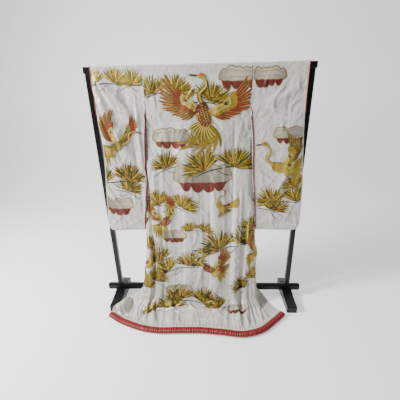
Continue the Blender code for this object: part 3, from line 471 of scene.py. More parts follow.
def make(name, points, quads, uv, materials, slots=None, colour=None, metal=None):
    """A smooth mesh object from arrays, with its own UV map in metres of cloth."""
    mesh = bpy.data.meshes.new(name)
    mesh.vertices.add(len(points))
    placed = points + np.array([GARMENT_X, STAND_Y, 0.0])
    mesh.vertices.foreach_set("co", placed.astype(np.float32).ravel())
    mesh.loops.add(quads.size)
    mesh.loops.foreach_set("vertex_index", quads.astype(np.int32).ravel())
    mesh.polygons.add(len(quads))
    mesh.polygons.foreach_set("loop_start", np.arange(0, quads.size, 4, dtype=np.int32))
    mesh.polygons.foreach_set("use_smooth", np.ones(len(quads), bool))
    if slots is not None:
        mesh.polygons.foreach_set("material_index", slots.astype(np.int32))
    mesh.update(calc_edges=True)
    layer = mesh.uv_layers.new(name="cloth")
    layer.data.foreach_set("uv", uv[quads.ravel()].astype(np.float32).ravel())
    if colour is not None:
        # The colour attribute holds the thread's dye together with its painted highlight and painted shade.
        dye = mesh.attributes.new("dye", "FLOAT_COLOR", "POINT")
        opaque = np.column_stack([colour, np.ones(len(colour))])
        dye.data.foreach_set("color", opaque.astype(np.float32).ravel())
        shine = mesh.attributes.new("metal", "FLOAT", "POINT")
        shine.data.foreach_set("value", metal.astype(np.float32))
    for item in materials:
        mesh.materials.append(item)
    mesh.validate()
    made = bpy.data.objects.new(name, mesh)
    bpy.context.scene.collection.objects.link(made)
    return made


def shell(name, points, quads, uv, materials, half=CLOTH_HALF, normals=None):
    """A closed shell about a sheet. Slot 0 is outside, slot 1 inside and along the rim."""
    count = len(points)
    if normals is None:
        normals = point_normals(points, quads)
    both = np.concatenate([points + normals * half, points - normals * half])
    both[:, 2] = np.maximum(both[:, 2], 0.0006)
    edges = np.stack([quads, np.roll(quads, -1, axis=1)], -1).reshape(-1, 2)
    key = edges[:, 0] * count + edges[:, 1]
    free = edges[~np.isin(key, edges[:, 1] * count + edges[:, 0])]
    rim = np.stack([free[:, 1], free[:, 0], free[:, 0] + count, free[:, 1] + count], -1)
    every = np.concatenate([quads, quads[:, ::-1] + count, rim])
    slots = np.concatenate([np.zeros(len(quads)), np.ones(len(quads) + len(rim))])
    made = make(name, both, every, np.concatenate([uv, uv]), materials, slots)
    made.data.set_sharp_from_angle(angle=math.radians(58))
    return made


# %% [markdown]
# ## The satin
# The outside is heavy off-white satin with a woven figure that only shows where the light glances.
# The figure is therefore put in the gloss, and soft wrinkles too small for the mesh in a bump.
# %% Satin
def build_material(name):
    """A new node material and shortcuts to add and link its nodes."""
    made = bpy.data.materials.new(name)
    made.use_nodes = True
    tree = made.node_tree
    shader = tree.nodes["Principled BSDF"]

    def add(kind, links=(), **settings):
        node = tree.nodes.new(kind)
        for key, value in settings.items():
            if key.startswith("in_"):
                slot = key[3:]
                node.inputs[int(slot) if slot.isdigit() else slot].default_value = value
            else:
                setattr(node, key, value)
        for source, target in links:
            tree.links.new(source, node.inputs[target])
        return node

    return made, tree, shader, add


def satin():
    """Off-white satin: a lattice figure in the gloss, a fine weave and a faint mottling."""
    made, tree, shader, add = build_material("satin_silk")
    uv = add("ShaderNodeUVMap", uv_map="cloth")
    figure = add(
        "ShaderNodeTexVoronoi", [(uv.outputs[0], "Vector")], feature="DISTANCE_TO_EDGE", in_Scale=26.0,
    )
    band = add("ShaderNodeMapRange", [(figure.outputs["Distance"], 0)], in_1=0.06, in_2=0.16)
    gloss = add("ShaderNodeMapRange", [(band.outputs[0], 0)], in_3=0.32, in_4=0.20)
    cloud = add("ShaderNodeTexNoise", [(uv.outputs[0], "Vector")], in_Scale=9.0, in_Detail=3.0)
    tint = add("ShaderNodeMix", [(cloud.outputs[0], 0)], data_type="RGBA")
    tint.inputs[6].default_value = (0.46, 0.438, 0.392, 1)
    tint.inputs[7].default_value = (0.59, 0.565, 0.512, 1)
    weave = add("ShaderNodeTexNoise", [(uv.outputs[0], "Vector")], in_Scale=420.0, in_Detail=2.0)
    relief = add("ShaderNodeMath", [(band.outputs[0], 0), (weave.outputs[0], 1)], operation="ADD")
    wrinkle = add(
        "ShaderNodeTexNoise", [(uv.outputs[0], "Vector")], in_Scale=17.0, in_Detail=4.0, in_Distortion=1.6,
    )
    soft = add("ShaderNodeBump", [(wrinkle.outputs[0], "Height")], in_Strength=0.60, in_Distance=0.0115)
    bump = add("ShaderNodeBump", [(relief.outputs[0], "Height")], in_Strength=0.10, in_Distance=0.0006)
    tree.links.new(soft.outputs[0], bump.inputs["Normal"])
    tree.links.new(tint.outputs[2], shader.inputs["Base Color"])
    tree.links.new(gloss.outputs[0], shader.inputs["Roughness"])
    tree.links.new(bump.outputs[0], shader.inputs["Normal"])
    shader.inputs["Sheen Weight"].default_value = 0.10
    shader.inputs["Sheen Roughness"].default_value = 0.35
    shader.inputs["Specular IOR Level"].default_value = 0.75
    return made


SATIN = satin()
print("made", SATIN.name)

# %% [markdown]
# ## The red silk
# The lining and the padded roll are one plain red silk. Its dye is deep, because a bright red turns
# pink under strong light.
# %% Red silk
def red_silk():
    """Plain red silk with a fine rib and a soft change of depth."""
    made, tree, shader, add = build_material("red_lining_silk")
    uv = add("ShaderNodeUVMap", uv_map="cloth")
    cloud = add("ShaderNodeTexNoise", [(uv.outputs[0], "Vector")], in_Scale=30.0, in_Detail=4.0)
    tint = add("ShaderNodeMix", [(cloud.outputs[0], 0)], data_type="RGBA")
    tint.inputs[6].default_value = (0.13, 0.003, 0.002, 1)
    tint.inputs[7].default_value = (0.23, 0.005, 0.004, 1)
    weave = add("ShaderNodeTexNoise", [(uv.outputs[0], "Vector")], in_Scale=600.0, in_Detail=2.0)
    bump = add("ShaderNodeBump", [(weave.outputs[0], "Height")], in_Strength=0.12, in_Distance=0.0005)
    tree.links.new(tint.outputs[2], shader.inputs["Base Color"])
    tree.links.new(bump.outputs[0], shader.inputs["Normal"])
    shader.inputs["Roughness"].default_value = 0.46
    shader.inputs["Sheen Weight"].default_value = 0.03
    shader.inputs["Sheen Roughness"].default_value = 0.4
    return made


RED = red_silk()
print("made", RED.name)

# %% [markdown]
# ## The thread
# Threads take their colour from the embroidery's own points, and their shine from how much metal they
# hold, so one material serves gold, rust, olive and cream.
# %% Thread
def thread():
    """Thread: dye with painted highlight and shade, and metal, from the mesh; the stitches' direction as fine
    ridges.
    """
    made, tree, shader, add = build_material("embroidery_thread")
    dye = add("ShaderNodeAttribute", attribute_name="dye")
    metal = add("ShaderNodeAttribute", attribute_name="metal")
    uv = add("ShaderNodeUVMap", uv_map="cloth")
    ridges = add("ShaderNodeTexWave", [(uv.outputs[0], "Vector")], bands_direction="X", in_Scale=190.0)
    ridges.inputs["Distortion"].default_value = 1.4
    uneven = add("ShaderNodeTexNoise", [(uv.outputs[0], "Vector")], in_Scale=160.0, in_Detail=2.0)
    shade = add("ShaderNodeMapRange", [(uneven.outputs[0], 0)], in_3=0.72, in_4=1.25)
    mixed = add(
        "ShaderNodeMix", [(dye.outputs["Color"], 6)], data_type="RGBA", blend_type="MULTIPLY", in_0=1.0,
    )
    tree.links.new(shade.outputs[0], mixed.inputs[7])
    bump = add("ShaderNodeBump", [(ridges.outputs[1], "Height")], in_Strength=0.35, in_Distance=0.0006)
    rough = add("ShaderNodeMapRange", [(metal.outputs["Fac"], 0)], in_3=0.55, in_4=0.36)
    part = add("ShaderNodeMath", [(metal.outputs["Fac"], 0)], operation="MULTIPLY", in_1=0.80)
    tree.links.new(mixed.outputs[2], shader.inputs["Base Color"])
    tree.links.new(part.outputs[0], shader.inputs["Metallic"])
    tree.links.new(rough.outputs[0], shader.inputs["Roughness"])
    tree.links.new(bump.outputs[0], shader.inputs["Normal"])
    return made


THREAD = thread()
print("made", THREAD.name)

# %% [markdown]
# ## The lacquer
# The stand is black lacquer over wood: a thin clear coat on near-black, and not quite even.
# %% Lacquer
def lacquer():
    """Black lacquer on wood: a clear coat over near-black, with a faint unevenness in the coat."""
    made, tree, shader, add = build_material("black_lacquer")
    place = add("ShaderNodeTexCoord")
    uneven = add("ShaderNodeTexNoise", [(place.outputs["Object"], "Vector")], in_Scale=7.0, in_Detail=3.0)
    gloss = add("ShaderNodeMapRange", [(uneven.outputs[0], 0)], in_3=0.24, in_4=0.40)
    bump = add("ShaderNodeBump", [(uneven.outputs[0], "Height")], in_Strength=0.05, in_Distance=0.002)
    tree.links.new(gloss.outputs[0], shader.inputs["Roughness"])
    tree.links.new(bump.outputs[0], shader.inputs["Normal"])
    shader.inputs["Base Color"].default_value = (0.004, 0.004, 0.005, 1)
    shader.inputs["Specular IOR Level"].default_value = 0.20
    shader.inputs["Coat Weight"].default_value = 0.08
    shader.inputs["Coat Roughness"].default_value = 0.18
    return made


LACQUER = lacquer()
print("made", LACQUER.name)

# %% [markdown]
# ## The body panels
# A body panel is one length of cloth from the back hem over the shoulder and down the front. The
# back grid carries the rows over the bar, and the front grid starts from the same points at the rear
# of the bar, so the cloth runs through with no shoulder seam.
# %% Body panels
ARC = over_bar(5)
ARC_RUN = np.concatenate([[0.0], np.cumsum(np.linalg.norm(np.diff(ARC, axis=0), axis=1))])
ARC_DOWN = COARSE_DOWN[0] - (ARC[0, 1] - 1.705) - ARC_RUN


def back_grid(side):
    """The back of one half with the rows over the bar first, from the rear of the bar forward."""
    grid = HALVES[side][0]
    x = side * np.linspace(0.0, SHOULDER_HALF, NB)
    arc = np.zeros((len(ARC), NB, 3))
    arc[..., 0] = x
    arc[..., 1:] = ARC[:, None]
    points = np.concatenate([arc[::-1], grid[:, :NB]])
    down = np.concatenate([ARC_DOWN[::-1], DOWN])
    return points, down


def body(side):
    """One body panel: back and front grids with shared points where the cloth is one."""
    grid, along = HALVES[side]
    back, back_down = back_grid(side)
    front = grid[:, NB:NB + NF].copy()
    arm = np.searchsorted(back_down, ARMHOLE_DOWN + 1e-6)
    back[:, 0, 0] += side * SEAM_PULL
    back[:arm, -1, 0] -= side * SEAM_PULL
    front[DOWN <= ARMHOLE_DOWN + 1e-6, 0, 0] -= side * SEAM_PULL
    pull = unit(front[:, -2] - front[:, -1]) * SEAM_PULL
    front[:, -1] += pull
    back_ids = np.arange(back.shape[0] * NB).reshape(back.shape[0], NB)
    front_ids = back.shape[0] * NB + np.arange(front.shape[0] * NF).reshape(front.shape[0], NF)
    front_ids[CLOSED_ROW:, 0] = back_ids[len(ARC) + CLOSED_ROW:, -1]
    top = back_ids[0, NB - NF:][::-1]
    quads = np.concatenate([
        cells(back_ids, side < 0),
        cells(np.concatenate([top[None], front_ids]), side < 0),
    ])
    u = np.concatenate([
        np.broadcast_to(side * along[:NB], back.shape[:2]).ravel(),
        np.broadcast_to(side * along[NB:NB + NF], front.shape[:2]).ravel(),
    ])
    v = np.concatenate([
        np.broadcast_to(back_down[:, None], back.shape[:2]).ravel(),
        np.broadcast_to(-DOWN[:, None], front.shape[:2]).ravel(),
    ])
    points = np.concatenate([back.reshape(-1, 3), front.reshape(-1, 3)])
    used, index = np.unique(quads, return_inverse=True)
    hand = HAND[side]
    uv = np.column_stack([u, v])[used]
    return shell("silk_body_" + hand, points[used], index.reshape(-1, 4), uv, [SATIN, RED])


BODIES = {side: body(side) for side in (-1, 1)}
for side, made in BODIES.items():
    hand = HAND[side]
    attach(made, "root")
    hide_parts("body_" + hand)
    print(made.name, len(made.data.polygons), "faces")

# %% [markdown]
# ## Overlaps and collar
# The overlap is the narrow panel on each front edge. The collar band lies along both fronts and
# round the neck, and hangs a little lower behind the bar.
# %% Overlaps and collar
def overlap(side):
    """The overlap panel, from its point under the collar down to the hem."""
    grid, along = HALVES[side]
    first = NB + NF
    points = grid[CLOSED_ROW:, first:first + NO].copy()
    points[:, 0] += unit(points[:, 1] - points[:, 0] + 1e-9) * SEAM_PULL
    points[0, 1:] = points[0, :1] + (points[1, 1:] - points[1, :1]) * 0.2
    collar_rows = DOWN[CLOSED_ROW:] <= COLLAR_END
    points[collar_rows, -1] += unit(points[collar_rows, -2] - points[collar_rows, -1]) * SEAM_PULL
    ids = np.arange(points.shape[0] * NO).reshape(points.shape[0], NO)
    u = np.broadcast_to(side * along[first:first + NO], points.shape[:2])
    v = np.broadcast_to(-DOWN[CLOSED_ROW:, None], points.shape[:2])
    hand = HAND[side]
    return shell(
        "silk_overlap_" + hand, points.reshape(-1, 3), cells(ids, side < 0),
        np.column_stack([u.ravel(), v.ravel()]), [SATIN, RED],
    )


def collar():
    """Both legs of the collar and the band behind the neck, in one piece."""
    points, quads, uv = [], [], []
    start = 0
    columns = COLLAR_COLUMNS * FINE
    rear = ARC[-1]
    share = np.linspace(0.0, 1.0, columns + 1)
    for side in (-1, 1):
        coarse = coarse_half(side)
        first = BACK_COLUMNS + 1 + FRONT_COLUMNS + OVERLAP_COLUMNS
        leg = flow(COARSE_DOWN, fine_columns(coarse, first, first + COLLAR_COLUMNS), DOWN[DOWN <= COLLAR_END])
        corner = side * SHOULDER_HALF / 4
        mitre = np.column_stack([
            corner - side * COLLAR_WIDE * share, rear[0] + 0.001 * share, rear[1] - COLLAR_DROP * share,
        ])
        leg = np.concatenate([mitre[None], leg])
        leg[1:, 0] -= side * np.array([SEAM_PULL, 0, 0])
        along_neck = np.linspace(1.0, 0.0, 12)[:, None]
        band = np.stack([
            mitre[:, 0] * along_neck, mitre[:, 1] + 0 * along_neck, mitre[:, 2] + 0 * along_neck,
        ], -1)
        for grid, flip in ((leg, side < 0), (band[::-1], side < 0)):
            ids = start + np.arange(grid.shape[0] * grid.shape[1]).reshape(grid.shape[:2])
            quads.append(cells(ids, flip))
            run = np.concatenate([[0.0], np.cumsum(np.linalg.norm(np.diff(grid[:, 0], axis=0), axis=1))])
            points.append(grid.reshape(-1, 3))
            uv.append(np.stack(np.broadcast_arrays(share * COLLAR_WIDE, run[:, None]), -1).reshape(-1, 2))
            start += ids.size
    points, quads, uv = np.concatenate(points), np.concatenate(quads), np.concatenate(uv)
    _, keep, index = np.unique(points.round(6), axis=0, return_index=True, return_inverse=True)
    return shell("silk_collar", points[keep], index.ravel()[quads], uv[keep], [SATIN, RED])


OVERLAPS = {side: overlap(side) for side in (-1, 1)}
for side, made in OVERLAPS.items():
    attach(made, "root")
    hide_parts("overlap_" + HAND[side])
COLLAR = collar()
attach(COLLAR, "root")
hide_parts("collar")
print(COLLAR.name, len(COLLAR.data.polygons), "faces")

# %% [markdown]
# ## The sleeves
# A sleeve is one folded length of cloth: rings about its hollow, from the bottom up the near wall,
# over the bar and down the far wall. The inner edge is open below the armhole and the outer edge is
# open only at the cuff.
# %% Sleeves
SLEEVE_LONG, SLEEVE_CORNER, CUFF_DOWN, BOTTOM_ROUND = 1.106, 0.050, 0.300, 0.030
SLEEVE = np.array((
    # down, left outer x, right outer x, inner mid y, inner half, outer mid y, outer half
    (0.030, 0.6560, 0.6560, 0.0000, 0.0190, 0.0000, 0.0190),
    (0.045, 0.6560, 0.6560, 0.0000, 0.0193, -0.0005, 0.0190),
    (0.130, 0.6550, 0.6560, 0.0000, 0.0225, -0.0055, 0.0155),
    (0.235, 0.6520, 0.6560, 0.0000, 0.0260, -0.0190, 0.0090),
    (0.300, 0.6480, 0.6570, -0.0005, 0.0255, -0.0290, 0.0045),
    (0.500, 0.6420, 0.6700, -0.0030, 0.0240, -0.0300, 0.0045),
    (0.800, 0.6630, 0.6960, -0.0070, 0.0220, -0.0310, 0.0045),
    (1.106, 0.6880, 0.7060, -0.0120, 0.0180, -0.0310, 0.0045),
))
SLIT_WIDE = {-1: 0.0100, 1: 0.0130}
SLEEVE_FOLDS = {
    -1: (
        # from x, from z, to x, to z, half width, height
        (0.650, 1.690, 0.400, 1.380, 0.030, 0.013),
        (0.655, 1.640, 0.470, 1.180, 0.028, 0.012),
        (0.640, 1.500, 0.560, 1.050, 0.026, 0.009),
        (0.480, 1.620, 0.380, 1.300, 0.026, -0.007),
    ),
    1: (
        (0.640, 1.600, 0.400, 1.480, 0.032, 0.006),
        (0.660, 1.250, 0.480, 0.800, 0.034, 0.008),
        (0.680, 0.780, 0.430, 0.690, 0.028, 0.008),
    ),
}
SLEEVE_CREASES = {
    -1: (
        (0.640, 1.700, 0.520, 1.480, 0.009, 0.0072),
        (0.620, 1.680, 0.430, 1.460, 0.010, 0.0065),
        (0.655, 1.580, 0.560, 1.260, 0.009, -0.0065),
        (0.600, 1.420, 0.520, 1.080, 0.010, 0.0054),
        (0.390, 1.560, 0.385, 1.060, 0.009, 0.0058),
        (0.430, 1.300, 0.410, 0.760, 0.011, -0.0047),
        (0.660, 0.980, 0.500, 0.700, 0.012, 0.0061),
        (0.520, 0.800, 0.640, 0.690, 0.010, 0.0065),
        (0.440, 0.720, 0.560, 0.650, 0.010, 0.0054),
    ),
    1: (
        (0.420, 1.490, 0.620, 1.440, 0.010, 0.0065),
        (0.400, 1.430, 0.560, 1.415, 0.008, -0.0043),
        (0.620, 1.600, 0.500, 1.520, 0.012, 0.0050),
        (0.640, 1.180, 0.540, 0.940, 0.011, 0.0061),
        (0.420, 1.060, 0.520, 0.980, 0.010, 0.0050),
        (0.440, 0.820, 0.600, 0.760, 0.010, 0.0068),
        (0.500, 0.740, 0.660, 0.690, 0.009, 0.0072),
        (0.430, 0.700, 0.560, 0.650, 0.009, 0.0061),
        (0.660, 0.860, 0.600, 0.700, 0.010, 0.0061),
    ),
}
print("sleeve sections", len(SLEEVE), "creases", sum(len(rows) for rows in SLEEVE_CREASES.values()))

# %% [markdown]
# ## The sleeve's two walls
# Both walls share one grid. The table gives how far apart they stand, the inner edge follows the body
# panel's own reach, and the folds push the near wall more than the far one.
# %% Sleeve walls
def sleeve_surface(side):
    """Near and far walls of a sleeve as fine grids, with the ring over the bar between them."""
    down = np.unique(np.concatenate([
        np.linspace(HANGING_ROWS[0], ARMHOLE_DOWN, 33),
        np.linspace(ARMHOLE_DOWN, CUFF_DOWN, 11),
        np.linspace(CUFF_DOWN, SLEEVE_LONG - BOTTOM_ROUND, 118),
        SLEEVE_LONG - BOTTOM_ROUND * (1.0 - np.sin(np.linspace(0.0, math.pi / 2, 9))),
    ]).round(7))
    out = np.concatenate([np.linspace(0.0, 0.90, 46), np.linspace(0.90, 1.0, 13)[1:]])
    rows = flow(SLEEVE[:, 0], SLEEVE[:, 1:], down)
    outer = (rows[:, 0] if side < 0 else rows[:, 1]) - side * GARMENT_X
    blend = ease(out / 0.80)
    middle = rows[:, 2:3] + (rows[:, 4:5] - rows[:, 2:3]) * blend
    half = rows[:, 3:4] + (rows[:, 5:6] - rows[:, 3:4]) * blend
    low = np.clip((down - (SLEEVE_LONG - BOTTOM_ROUND)) / BOTTOM_ROUND, 0.0, 1.0)
    half = half * np.sqrt(1.0 - low ** 2)[:, None]
    grid, _ = HALVES[side]
    reach = (grid[..., 0] * side).max(1)
    opened = ease((down - ARMHOLE_DOWN) / 0.065)
    inner = np.interp(down, DOWN, reach) + SLIT_WIDE[side] * opened
    seam = down <= ARMHOLE_DOWN + 1e-6
    inner = np.where(seam, np.interp(down, DOWN, grid[:, NB - 1, 0] * side) + SEAM_PULL, inner)
    x = inner[:, None] + (outer - inner)[:, None] * out
    corner = np.clip(1.0 - (outer[:, None] - x) / SLEEVE_CORNER, 0.0, 1.0)
    rise = SLEEVE_CORNER * (1.0 - np.sqrt(1.0 - corner ** 2))
    hang = np.clip((down - CUFF_DOWN) / (SLEEVE_LONG - CUFF_DOWN), 0.0, 1.0)[:, None]
    z = TOP_Z - down[:, None] + rise[-1] * hang
    z = np.where(seam[:, None], np.interp(down, DOWN, grid[:, NB - 1, 2])[:, None], z)
    near, far = middle - half, middle + half
    near_seam = np.interp(down, DOWN, grid[:, NB - 1, 1])
    far_seam = np.interp(down, DOWN, grid[:, NB, 1])
    meet = ((1.0 - ease(out / 0.10)) * (1.0 - ease((down - ARMHOLE_DOWN) / 0.02))[:, None])
    near = near + (near_seam[:, None] - near) * meet
    far = far + (far_seam[:, None] - far) * meet
    push = slanting_folds(x, z, SLEEVE_FOLDS[side]) * ease((down - 0.030) / 0.100)[:, None]
    push = push + slanting_folds(x, z, SLEEVE_CREASES[side], 0.06) * ease((down - 0.040) / 0.06)[:, None]
    small = ripple(x, z, 31 + side, 0.0014, upright=0.5)
    small = small + crumple(x, z, 51 + side, 90, 0.0052, (0.33, 0.62), (0.70, 1.70), 0.5)
    push = push + small * ease((down - 0.030) / 0.100)[:, None] * ease(out / 0.16) * ease((1.0 - out) / 0.08)
    push = push * np.where(seam[:, None], ease(out / 0.25), 1.0)
    push = push * ((1.0 - hang) ** 0.1 * (1.0 - low[:, None]))
    near = near - push
    far = far + push * (1.0 - ease(out / 0.80))
    far = np.maximum(far, near + 0.0042 * np.sqrt(1.0 - low ** 2)[:, None])
    x = x * side
    return np.stack([x, near, z], 2), np.stack([x, far, z], 2), down, out, inner, outer


print("sleeve grid", sleeve_surface(1)[0].shape)

# %% [markdown]
# ## The sleeve as one shell
# The near wall, the rows over the bar and the far wall make rings about the hollow. A strip closes the
# outer edge below the cuff, and everything else that isn't sewn stays open.
# %% Sleeve shells
def sleeve(side):
    """One sleeve's shell, and what the embroidery and the edge rolls need of its surface."""
    near, far, down, out, inner, outer = sleeve_surface(side)
    over = np.zeros((len(ARC), len(out), 3))
    over[..., 0] = near[0, :, 0]
    over[..., 1:] = ARC[:, None]
    rings = np.concatenate([near[::-1], over, far[:-1]])
    around, columns = rings.shape[:2]
    ids = np.arange(around * columns).reshape(around, columns)
    closed = int(np.sum(down >= CUFF_DOWN - 1e-6)) - 1
    step = np.arange(1, closed)
    end = ids[:, -1]
    strip = np.stack([end[step], end[step + 1], end[around - step - 1], end[around - step]], 1)
    quads = np.concatenate([cells(np.concatenate([ids, ids[:1]]), False), strip])
    quads = quads[:, ::-1] if side > 0 else quads
    normals = point_normals(rings.reshape(-1, 3), quads)
    normals[ids[:, 0], 0] = 0.0
    normals[end[closed:around - closed + 1], 0] = 0.0
    normals = unit(normals)
    run = np.concatenate([down[::-1], ARC_DOWN, -down[:-1]])
    u = side * (BACK_HEM + np.abs(rings[..., 0]) - inner.min())
    uv = np.stack(np.broadcast_arrays(u, run[:, None]), -1).reshape(-1, 2)
    hand = HAND[side]
    made = shell("silk_sleeve_" + hand, rings.reshape(-1, 3), quads, uv, [SATIN, RED], normals=normals)
    wall = np.concatenate([over[::-1], near])
    wall_down = np.concatenate([ARC_DOWN[::-1], down])
    width = np.concatenate([np.full(len(ARC), outer[0] - inner[0]), outer - inner])
    return made, rings, normals.reshape(rings.shape), closed, (wall, wall_down, out, width)


SLEEVES = {side: sleeve(side) for side in (-1, 1)}
for side, (made, *_) in SLEEVES.items():
    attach(made, "root")
    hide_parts("sleeve_" + HAND[side])
    print(made.name, len(made.data.polygons), "faces")

# %% [markdown]
# ## Edge rolls
# The red lining is rolled out along each sleeve's open inner edge and round the cuff. A roll is rings
# about the edge's own path, a little outside it, with a slight waver as hand sewing leaves.
# %% Edge rolls
ROLL_RADIUS, ROLL_GAP = 0.0026, 0.0003


def closed_roll(rings):
    """Points and quads of (stations, sides, 3) rings, capped at both ends and turned outwards."""
    stations, sides = rings.shape[:2]
    ids = np.arange(stations * sides).reshape(stations, sides)
    step = np.arange(sides // 2 - 1)
    caps = [
        np.stack([end[step], end[step + 1], end[sides - 2 - step], end[sides - 1 - step]], 1)
        for end in (ids[0], ids[-1][::-1])
    ]
    quads = np.concatenate([cells(np.column_stack([ids, ids[:, :1]]), False)] + caps)
    points = rings.reshape(-1, 3)
    faces = points[quads]
    turned = np.cross(faces[:, 2] - faces[:, 0], faces[:, 3] - faces[:, 1])
    inside_out = np.sum(turned * (faces.mean(1) - points.mean(0))) < 0
    return points, quads[:, ::-1] if inside_out else quads


def tube(name, path, outward, side_way, sides=10):
    """A thin closed roll: rings about the path in the plane of side_way and outward."""
    outward = unit(outward)
    run = np.concatenate([[0.0], np.cumsum(np.linalg.norm(np.diff(path, axis=0), axis=1))])
    radius = ROLL_RADIUS * (1.0 - 0.07 * (0.5 + 0.5 * np.sin(run * 2 * math.pi / 0.017)))
    centre = path + outward * (ROLL_RADIUS - 0.0015)
    centre[:, 0] += side_way * (ROLL_RADIUS + ROLL_GAP)
    across = np.zeros_like(path)
    across[:, 0] = side_way
    angle = 2 * math.pi * np.arange(sides) / sides
    ring = across[:, None] * np.cos(angle)[None, :, None] + outward[:, None] * np.sin(angle)[None, :, None]
    points = centre[:, None] + ring * radius[:, None, None]
    points[0] = centre[:1] + (points[0] - centre[:1]) * 0.3
    points[-1] = centre[-1:] + (points[-1] - centre[-1:]) * 0.3
    uv = np.stack(np.broadcast_arrays(run[:, None], angle[None] * ROLL_RADIUS), -1).reshape(-1, 2)
    return make(name, *closed_roll(points), uv, [RED])


for side, (_, rings, normals, closed, _) in SLEEVES.items():
    hand = HAND[side]
    around = len(rings)
    inner = np.arange(-closed, closed + 1) % around
    edge = tube("silk_sleeve_edge_" + hand, rings[inner, 0], normals[inner, 0], -side)
    cuff = np.arange(closed + 1, around - closed)
    mouth = tube("silk_cuff_edge_" + hand, rings[cuff, -1], normals[cuff, -1], side)
    for made, node in ((edge, "sleeve_edge_"), (mouth, "cuff_edge_")):
        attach(made, "root")
        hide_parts(node + hand)
print("edge rolls made")

# %% [markdown]
# ## The padded hem roll
# Red lining is drawn round thick wadding and gathered by its sewing. Broad gathers follow the solid's
# own; between them run finer, uneven puckers that twist a little round the roll.
# %% Hem roll
GATHERS, STATIONS, ROLL_SIDES = 44, 1400, 26


def hem_roll():
    """The roll's rings along its centre line, pinched at each gather and rounded at both ends."""
    total = HEM_LINE[-1, 0]
    nose = total - ROLL_HALF * 0.0002
    share = np.linspace(-1.0, 1.0, STATIONS)
    quarter = math.pi / 2 * 0.985
    along = nose * np.sin(share * quarter) / math.sin(quarter) * 0.35 + nose * share * 0.65
    centre, inward = np.zeros((STATIONS, 3)), np.zeros((STATIONS, 2))
    for side in (-1, 1):
        mine = (along < 0) if side < 0 else (along >= 0)
        centre[mine], inward[mine] = hem_line(np.abs(along[mine]), side)
    past = np.clip((np.abs(along) - (total - ROLL_HALF)) / ROLL_HALF, 0.0, 1.0)
    taper = np.sqrt(np.maximum(1.0 - past ** 2, 0.0))[:, None]
    angle = (2 * math.pi * (np.arange(ROLL_SIDES) + 0.5) / ROLL_SIDES)[None]
    place = along[:, None]
    away = 0.25 + 0.75 * (1.0 - np.cos(angle)) / 2
    broad = 0.5 + 0.5 * np.cos(2 * math.pi * place * GATHERS / (2 * total))
    twist = place + 0.0016 * np.sin(angle + 9 * place) + 0.0022 * np.sin(place * 37.0)
    fine = np.abs(np.sin(math.pi * twist * 93 / (2 * total) + 0.5 * np.sin(place * 51.0))) ** 0.6
    uneven = 0.5 + 0.5 * np.sin(place * 61.0 + 2 * np.sin(place * 17.0))
    pinch = (0.0016 * broad ** 2 + 0.0052 * (1.0 - fine) * (0.6 + 0.4 * uneven)) * away
    half = ROLL_HALF * (0.06 + 0.94 * taper) - pinch * taper
    tall = ROLL_TALL / 2 * (0.06 + 0.94 * taper) - pinch * taper * 0.9
    across = half * np.cos(angle)
    up = np.maximum(tall * np.sin(angle), -ROLL_TALL / 2 * 0.985)
    low = np.sin(angle) < -0.80
    height = centre[:, 2:3] + up
    floor = centre[:, 2:3] - ROLL_TALL / 2
    rise = height - floor
    height = np.where(low, floor + 0.0004 + rise * 0.15 * taper + rise * (1 - taper), height)
    flat = centre[:, None, :2] + inward[:, None, :] * across[:, :, None]
    rings = np.concatenate([flat, height[:, :, None]], 2)
    uv = np.stack(np.broadcast_arrays(place, angle * 0.02), -1).reshape(-1, 2)
    return make("silk_hem_roll", *closed_roll(rings), uv, [RED])


ROLL = hem_roll()
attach(ROLL, "root")
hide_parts("hem_roll")
print(ROLL.name, len(ROLL.data.polygons), "faces")

# %% [markdown]
# ## Laying a drawing on the cloth
# Motifs are drawn flat, in metres of cloth, and then each of their points is looked up on the fine
# surface and moved out along its normal. So a feather bends over a fold exactly as the satin does.
# %% Cloth map
def full_map():
    """The whole garment as one grid, left free edge to right, with the rows over the bar on top."""
    sides = {}
    for side in (-1, 1):
        grid = HALVES[side][0]
        keep = np.r_[0:NB, NB + 1:NB + NF, NB + NF + 1:NB + NF + NO]
        arc = back_grid(side)[0][:len(ARC)]
        more = np.repeat(arc[:, -1:], len(keep) - NB, axis=1)
        sides[side] = np.concatenate([np.concatenate([arc, more], 1), grid[:, keep]])
    grid = np.concatenate([sides[-1][:, :0:-1], sides[1]], 1)
    along = HALVES[1][1][np.r_[0:NB, NB + 1:NB + NF, NB + NF + 1:NB + NF + NO]]
    along = np.concatenate([-along[:0:-1], along])
    down = np.concatenate([ARC_DOWN[::-1], DOWN])
    normal = unit(np.cross(np.gradient(grid, axis=0), np.gradient(grid, axis=1)))
    return grid, normal, along, down


def look_up(grid, rows, columns):
    """Bilinear value of a grid at fractional rows and columns."""
    rows = np.clip(rows, 0, grid.shape[0] - 1.001)
    columns = np.clip(columns, 0, grid.shape[1] - 1.001)
    r, c = rows.astype(int), columns.astype(int)
    a, b = (rows - r)[..., None], (columns - c)[..., None]
    top = grid[r, c] * (1 - b) + grid[r, c + 1] * b
    low = grid[r + 1, c] * (1 - b) + grid[r + 1, c + 1] * b
    return top * (1 - a) + low * a


BODY_GRID, BODY_NORMAL, BODY_ALONG, BODY_DOWN = full_map()


def on_body(u, v, lift):
    """Points on the body panels at (along, down), lifted off the satin."""
    rows = np.interp(v, BODY_DOWN, np.arange(len(BODY_DOWN)))
    columns = np.interp(u, BODY_ALONG, np.arange(len(BODY_ALONG)))
    normal = unit(look_up(BODY_NORMAL, rows, columns))
    return look_up(BODY_GRID, rows, columns) + normal * (CLOTH_HALF + lift)[..., None]


